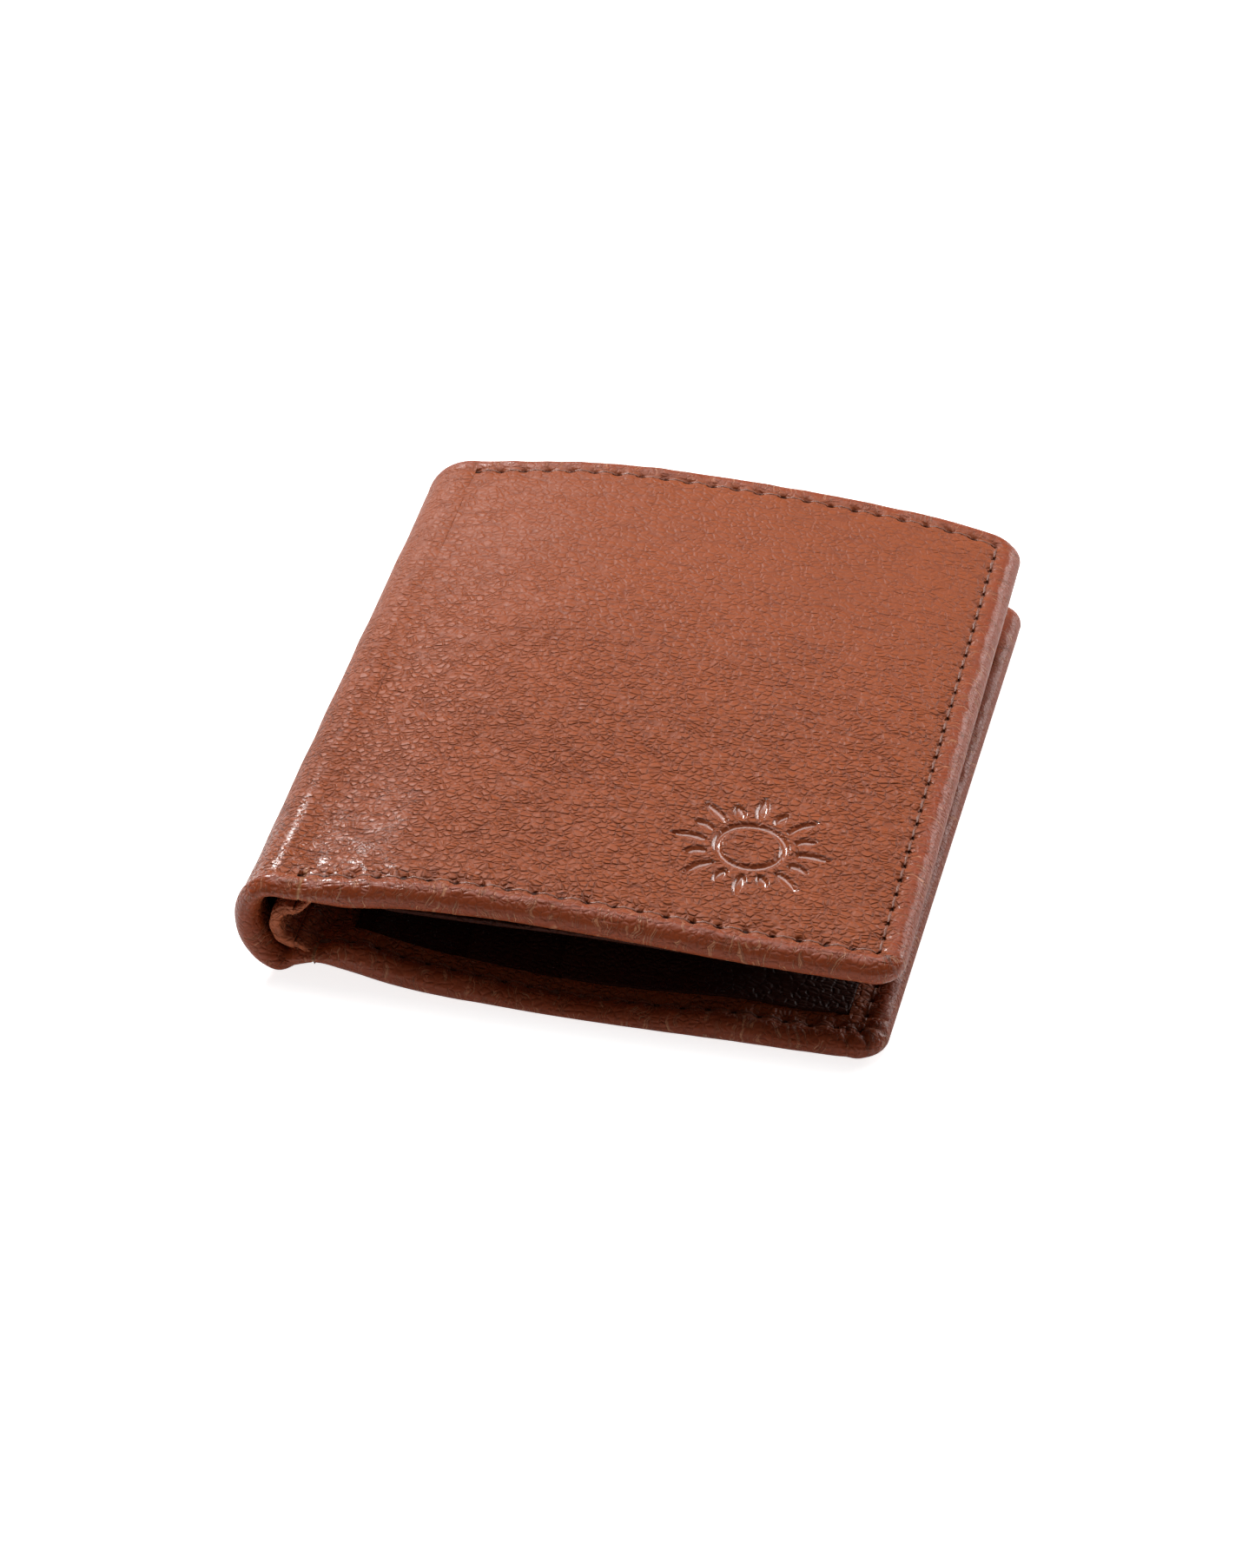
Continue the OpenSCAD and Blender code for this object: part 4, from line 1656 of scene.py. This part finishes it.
def thread_dashes(
    name: str, ends: Array, middle: Callable[[Array, Array], Array], up: float, radius: float = 0.19
) -> bpy.types.Object:
    """Make a row of stitches as twisted two-ply dashes.

    Args:
        name: The piece's name.
        ends: (n, 2, 2) plan places of each stitch's two needle holes.
        middle: Gives the leather's point at plan places.
        up: 1 where the good side looks up, -1 where it looks down.
        radius: Thread radius in mm.

    Returns:
        The new object.
    """
    rings, sides = 13, 8
    t = np.linspace(0.13, 0.87, rings)
    plan = ends[:, None, 0] * (1 - t)[None, :, None] + ends[:, None, 1] * t[None, :, None]
    centre = middle(plan[..., 0], plan[..., 1])
    arch = np.sin(np.pi * t) ** 0.5
    centre[..., 2] += up * (-0.52 + 0.46 * arch)[None]
    ahead = np.gradient(centre, axis=1)
    ahead /= np.linalg.norm(ahead, axis=-1, keepdims=True)
    north = np.array([0.0, 0.0, up])
    side = np.cross(north, ahead)
    side /= np.linalg.norm(side, axis=-1, keepdims=True)
    top = np.cross(ahead, side)
    angle = np.linspace(0, 2 * np.pi, sides, endpoint=False)
    ply = 1 + 0.16 * np.cos(2 * angle[None, :] - 2 * np.pi * 3.2 * t[:, None])
    taper = np.clip(np.sin(np.pi * t) * 2.4, 0.35, 1)[:, None]
    reach = radius * ply * taper
    ring = (
        centre[:, :, None]
        + reach[None, :, :, None] * np.cos(angle)[None, None, :, None] * side[:, :, None]
        + 0.85 * reach[None, :, :, None] * np.sin(angle)[None, None, :, None] * top[:, :, None]
    )
    faces: list[list[int]] = []
    block = rings * sides
    for k in range(len(ends)):
        base = k * block
        for i in range(rings - 1):
            for j in range(sides):
                a, b = base + i * sides + j, base + i * sides + (j + 1) % sides
                faces.append([a, b, b + sides, a + sides])
        faces.append([base + j for j in reversed(range(sides))])
        faces.append([base + (rings - 1) * sides + j for j in range(sides)])
    return new_object(name, ring.reshape(-1, 3), faces)


def stitch_ends(cover: Cover, start: int = 0) -> Array:
    """Plan places of the stitches round a cover's three edges.

    Args:
        cover: The cover.
        start: How many stitches to leave out at the fold.

    Returns:
        (n, 2, 2) places of each stitch's two ends.
    """
    s, half = cover.seam, cover.drape.half
    xs = np.linspace(s.start_x, cover.right - s.inset, s.across + 1)[start:]
    ys = np.linspace(-half + s.inset, half - s.inset, s.along + 1)
    rows = []
    for y in (ys[0], ys[-1]):
        rows += [((a, y), (b, y)) for a, b in zip(xs[:-1], xs[1:])]
    rows += [((xs[-1], a), (xs[-1], b)) for a, b in zip(ys[:-1], ys[1:])]
    return np.array(rows)


def sew(
    cover: Cover, needle: str, bobbin: str, nodes: tuple[str, str], body: str, finishes: Finishes
) -> None:
    """Sew both sides of a cover's seam.

    Args:
        cover: The cover.
        needle: Name of the outside row.
        bobbin: Name of the inside row.
        nodes: The CAD nodes they stand for.
        body: The body they ride on.
        finishes: The finishes.
    """
    up = float(cover.facing.value)
    ends = stitch_ends(cover)
    for name, node, hem, way in ((needle, nodes[0], False, up), (bobbin, nodes[1], True, -up)):
        def on_leather(x: Array, y: Array, hem: bool = hem) -> Array:
            """A point on this side's leather."""
            return cover.surface(x, y, cover.depth(x, y, hem))

        row = thread_dashes(name, ends, on_leather, way)
        dress(row, Slot.THREAD, finishes.thread)
        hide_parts(node)
        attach(row, body)
        log.info("%s: %d stitches", name, len(ends))


# ---------------------------------------------------------------- leaves


@dataclass
class Leaf:
    """What the front and back leaves share: a cover and its inside layers."""

    drape: Drape
    finishes: Finishes
    body: str
    cover: Cover
    panel_up: float = 12.9
    panel_down: float = 2.3
    panel_thick: float = 0.6
    pad_top: float = 14.8

    def lay(self, height: Array, x: Array, y: Array) -> Array:
        """Lay a layer's point into the draped leaf."""
        place = self.drape.in_front if self.cover.facing is Facing.UP else self.drape.in_back
        return place(x, y, height)

    def layer(
        self,
        name: str,
        node: str,
        slot: Slot,
        material: bpy.types.Material,
        bead: float = 0.0,
        margin: float = 0.0,
    ) -> bpy.types.Object:
        """Make one inside layer in its CAD node's place.

        Args:
            name: The piece's name.
            node: The CAD node it stands for.
            slot: The record's slot.
            material: Its finish.
            bead: Height of the folded mouth along its left edge, in mm.
            margin: How much smaller it is all round.

        Returns:
            The new object.
        """
        low, high = box_mm(node)
        xs = lines(low[0] + margin, high[0] - margin, 1.6, low[0] + margin + 1.0)
        ys = lines(low[1] + margin, high[1] - margin, 1.8)
        base, top = low[2], high[2]
        if "panel" in node:
            base = self.panel_up if self.cover.facing is Facing.UP else self.panel_down
            top = base + self.panel_thick
        if "pad" in node:
            top = self.pad_top
        outside = self.cover.facing is Facing.DOWN

        def swell(x: Array, y: Array) -> Array:
            """How far the folded mouth stands up."""
            return 0.0 * x + (bead * (1 - step_smooth(0.9, 1.5, x - low[0])) if outside and bead else 0.0)

        obj = slab(name, xs, ys, base, top, lambda x, y, h: self.lay(h, x, y), corner=1.2, swell=swell)
        dress(obj, slot, material)
        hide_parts(node)
        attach(obj, self.body)
        log.info("%s made", name)
        return obj


@dataclass
class FrontLeaf(Leaf):
    """The padded top leaf with its pressed mark."""

    def build(self) -> None:
        """Build the cover, its seam and its layers."""
        f = self.finishes
        cover = settle_with(self.cover.build(), Slot.LEATHER, f.cover, f.flesh, f.cut)
        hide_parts("front_outer_leather")
        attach(cover, self.body)
        log.info("front cover made")
        nodes = ("front_needle_thread", "front_bobbin_thread")
        sew(self.cover, "front_stitches", "front_hem_stitches", nodes, self.body, f)
        pad = self.layer("front_pad", "front_foam_pad", Slot.FOAM, f.foam, margin=0.6)
        self.layer("front_note_cloth", "front_note_lining", Slot.LINING, f.lining)
        self.layer("front_pocket_cloth", "front_pocket_lining", Slot.LINING, f.lining)
        self.layer("front_panel", "front_pocket_panel", Slot.LEATHER, f.inside)
        self.layer("front_slot_first", "front_card_slot_1", Slot.LEATHER, f.inside, bead=0.12)
        self.layer("front_slot_second", "front_card_slot_2", Slot.LEATHER, f.inside, bead=0.12)


@dataclass
class BackLeaf(Leaf):
    """The lower leaf with its stiffener and three card slots."""

    def build(self) -> None:
        """Build the cover, its seam and its layers."""
        f = self.finishes
        cover = settle_with(self.cover.build(), Slot.LEATHER, f.cover, f.flesh, f.cut)
        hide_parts("back_outer_leather")
        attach(cover, self.body)
        log.info("back cover made")
        nodes = ("back_needle_thread", "back_bobbin_thread")
        sew(self.cover, "back_stitches", "back_hem_stitches", nodes, self.body, f)
        self.layer("back_board", "back_stiffener", Slot.BOARD, f.board, margin=0.4)
        self.layer("back_note_cloth", "back_note_lining", Slot.LINING, f.lining)
        self.layer("back_pocket_cloth", "back_pocket_lining", Slot.LINING, f.lining)
        self.layer("back_panel", "back_pocket_panel", Slot.LEATHER, f.inside)
        for number, word in enumerate(("first", "second", "third"), start=1):
            self.layer(f"back_slot_{word}", f"back_card_slot_{number}", Slot.LEATHER, f.inside, bead=0.12)


@dataclass
class WindowLeaf:
    """The loose inner leaf: two leather frames, two clear windows and a divider, on a hinge strip."""

    drape: Drape
    finishes: Finishes
    frame_width: float = 7.0
    rise_to: float = 9.75
    body: str = "window_leaf"

    def flat(self, x: Array, y: Array, h: Array) -> Array:
        """Lay a point, with the leaf's slight wave."""
        return stack(x, y, h + 0.18 * ripple(x, y, 45.0, 61) * step_smooth(-27, 0, x))

    def sheet(self, name: str, node: str, slot: Slot, material: bpy.types.Material, framed: bool) -> None:
        """Make one layer of the leaf.

        Args:
            name: The piece's name.
            node: The CAD node it stands for.
            slot: The record's slot.
            material: Its finish.
            framed: Whether it has the window's opening.
        """
        low, high = box_mm(node)
        shy = 0.8 if framed else 2.0
        low, high = low + (shy, shy, 0), high - (shy, shy, 0)
        w = self.frame_width
        hole = (low[0] + w, high[0] - w, low[1] + w, high[1] - w) if framed else None
        stops_x = (hole[0], hole[1]) if hole else ()
        stops_y = (hole[2], hole[3]) if hole else ()
        xs = lines(low[0], high[0], 1.6, *stops_x)
        ys = lines(low[1], high[1], 1.8, *stops_y)
        obj = slab(name, xs, ys, low[2] + 0.01, high[2] - 0.01, self.flat, corner=3.0, hole=hole)
        dress(obj, slot, material)
        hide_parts(node)
        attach(obj, self.body)
        log.info("%s made", name)

    def hinge(self) -> None:
        """Make the soft strip that joins the leaf to the fold."""
        low, high = box_mm("window_hinge_strip")
        d = self.drape

        def place(x: Array, y: Array, h: Array) -> Array:
            """A point of the strip, h mm from its middle."""
            t = (x - low[0]) / (high[0] - low[0])
            rise = (self.rise_to - d.fold_z) * step_smooth(0.1, 1.0, t)
            return stack(x, y, d.fold_z + rise + h + 0.25 * np.sin(t * np.pi * 2.0))

        xs = lines(low[0], high[0] + 0.6, 0.7)
        strip = slab("window_hinge", xs, lines(low[1], high[1], 1.8), -0.35, 0.35, place)
        dress(strip, Slot.LEATHER, self.finishes.inside)
        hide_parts("window_hinge_strip")
        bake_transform(strip)
        log.info("window hinge made")

    def stitches(self) -> None:
        """Sew the frame round the window."""
        low, high = box_mm("window_thread")
        frame_low, frame_high = box_mm("window_frame_upper")
        inset, pitch = 1.9, 2.9
        left, right = frame_low[0] + inset, frame_high[0] - inset
        near, far = frame_low[1] + inset, frame_high[1] - inset
        rows = []
        xs = np.linspace(left, right, int(round((right - left) / pitch)) + 1)
        ys = np.linspace(near, far, int(round((far - near) / pitch)) + 1)
        for y in (near, far):
            rows += [((a, y), (b, y)) for a, b in zip(xs[:-1], xs[1:])]
        for x in (left, right):
            rows += [((x, a), (x, b)) for a, b in zip(ys[:-1], ys[1:])]
        def on_frame(x: Array, y: Array) -> Array:
            """A point just under the frame's top."""
            return self.flat(x, y, np.full_like(x, high[2] - 0.05))

        row = thread_dashes("window_stitches", np.array(rows), on_frame, 1.0, 0.22)
        dress(row, Slot.THREAD, self.finishes.thread)
        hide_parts("window_thread")
        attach(row, self.body)

    def build(self) -> None:
        """Build the leaf."""
        f = self.finishes
        self.sheet("window_frame_top", "window_frame_upper", Slot.LEATHER, f.inside, True)
        self.sheet("window_frame_bottom", "window_frame_lower", Slot.LEATHER, f.inside, True)
        self.sheet("window_vinyl_top", "window_film_upper", Slot.FILM, f.film, False)
        self.sheet("window_vinyl_bottom", "window_film_lower", Slot.FILM, f.film, False)
        self.sheet("window_card_divider", "window_divider", Slot.LINING, f.lining, False)
        self.hinge()
        self.stitches()


# ---------------------------------------------------------------- studio


@dataclass
class Studio:
    """Pale floor, soft lights and the camera."""

    lens: float = 114.027
    sensor: float = 36.0
    elevation: float = 0.63297
    azimuth: float = 0.20265
    roll: float = 0.0187
    distance: float = 649.944
    across: float = -2.8815
    up: float = -3.3331
    target: tuple[float, float, float] = (0.5, 0.0, 5.0)

    def camera(self) -> None:
        """Make the camera."""
        e, a, r = self.elevation, self.azimuth, self.roll
        back = Vector((math.sin(a) * math.cos(e), -math.cos(a) * math.cos(e), math.sin(e)))
        right = Vector((math.cos(a), math.sin(a), 0))
        up = back.cross(right)
        side = right * math.cos(r) + up * math.sin(r)
        top = up * math.cos(r) - right * math.sin(r)
        spot = Vector(self.target) + back * self.distance + right * self.across + up * self.up
        data = bpy.data.cameras.new("Camera")
        data.sensor_width = self.sensor
        data.sensor_fit = "AUTO"
        data.lens = self.lens
        data.clip_start, data.clip_end = 0.01, 50.0
        obj = bpy.data.objects.new("Camera", data)
        bpy.context.scene.collection.objects.link(obj)
        obj.matrix_world = Matrix.Translation(spot * MM) @ Matrix((side, top, back)).transposed().to_4x4()
        bpy.context.scene.camera = obj

    def floor(self) -> None:
        """Make the pale floor."""
        size = 3000.0
        corners = np.array([(-size, -size, 0), (size, -size, 0), (size, size, 0), (-size, size, 0)])
        obj = new_object("studio_floor", corners, [[0, 1, 2, 3]])
        bench, material, shader, bump = start_material("Studio floor", (0.86, 0.86, 0.86), 0.9, 0.02, 0.1)
        place = bench.add("ShaderNodeTexCoord").outputs["Object"]
        bench.join(bench.noise(place, 400.0, 2.0), bump.inputs["Height"])
        shader.inputs["Emission Color"].default_value = (1.0, 1.0, 1.0, 1.0)
        seen = bench.add("ShaderNodeLightPath").outputs["Is Camera Ray"]
        bench.join(bench.maths("MULTIPLY_ADD", seen, 0.56, 0.26), shader.inputs["Emission Strength"])
        shader.inputs["Specular IOR Level"].default_value = 0.1
        obj.data.materials.append(material)

    def lamp(
        self, name: str, spot: tuple[float, float, float], size: tuple[float, float], power: float
    ) -> None:
        """Hang a softbox that looks at the wallet.

        Args:
            name: The lamp's name.
            spot: Its place in metres.
            size: Its width and height in metres.
            power: Its power in watts.
        """
        data = bpy.data.lights.new(name, "AREA")
        data.shape = "RECTANGLE"
        data.size, data.size_y = size
        data.energy = power
        obj = bpy.data.objects.new(name, data)
        bpy.context.scene.collection.objects.link(obj)
        obj.location = spot
        obj.rotation_euler = (Vector((0, 0, 0.01)) - Vector(spot)).to_track_quat("-Z", "Y").to_euler()

    def build(self) -> None:
        """Make the studio."""
        self.camera()
        self.floor()
        self.lamp("Overhead softbox", (-0.10, 0.36, 0.95), (1.0, 0.8), 12.0)
        self.lamp("Left lamp", (-0.52, 0.67, 0.53), (0.16, 0.16), 6.5)
        self.lamp("Right softbox", (0.62, 0.80, 0.26), (0.5, 0.3), 3.8)
        world = bpy.data.worlds.new("Studio")
        world.use_nodes = True
        ground = world.node_tree.nodes["Background"]
        ground.inputs["Color"].default_value = (1.0, 1.0, 1.0, 1.0)
        bench = NodeBench(world.node_tree)
        seen = bench.add("ShaderNodeLightPath").outputs["Is Camera Ray"]
        bench.join(bench.maths("MULTIPLY_ADD", seen, 0.88, 0.12), ground.inputs["Strength"])
        bpy.context.scene.world = world
        bpy.context.scene.view_settings.view_transform = "Standard"
        log.info("studio made")


def main() -> None:
    """Build the wallet, piece by piece, and its studio."""
    logging.basicConfig(level=logging.INFO, format="%(name)s: %(message)s")
    Studio().build()
    drape = Drape()
    finishes = Finishes()
    front = Cover(drape, Facing.UP, drape.front_right, "front_cover", mark=Mark())
    back = Cover(drape, Facing.DOWN, drape.back_right, "back_cover", groove=0.5, slit=-31.6)
    FrontLeaf(drape, finishes, "front_leaf", front).build()
    BackLeaf(drape, finishes, "back_leaf", back).build()
    Spine(drape, front).build(finishes)
    WindowLeaf(drape, finishes).build()


if __name__ == "__main__":
    main()
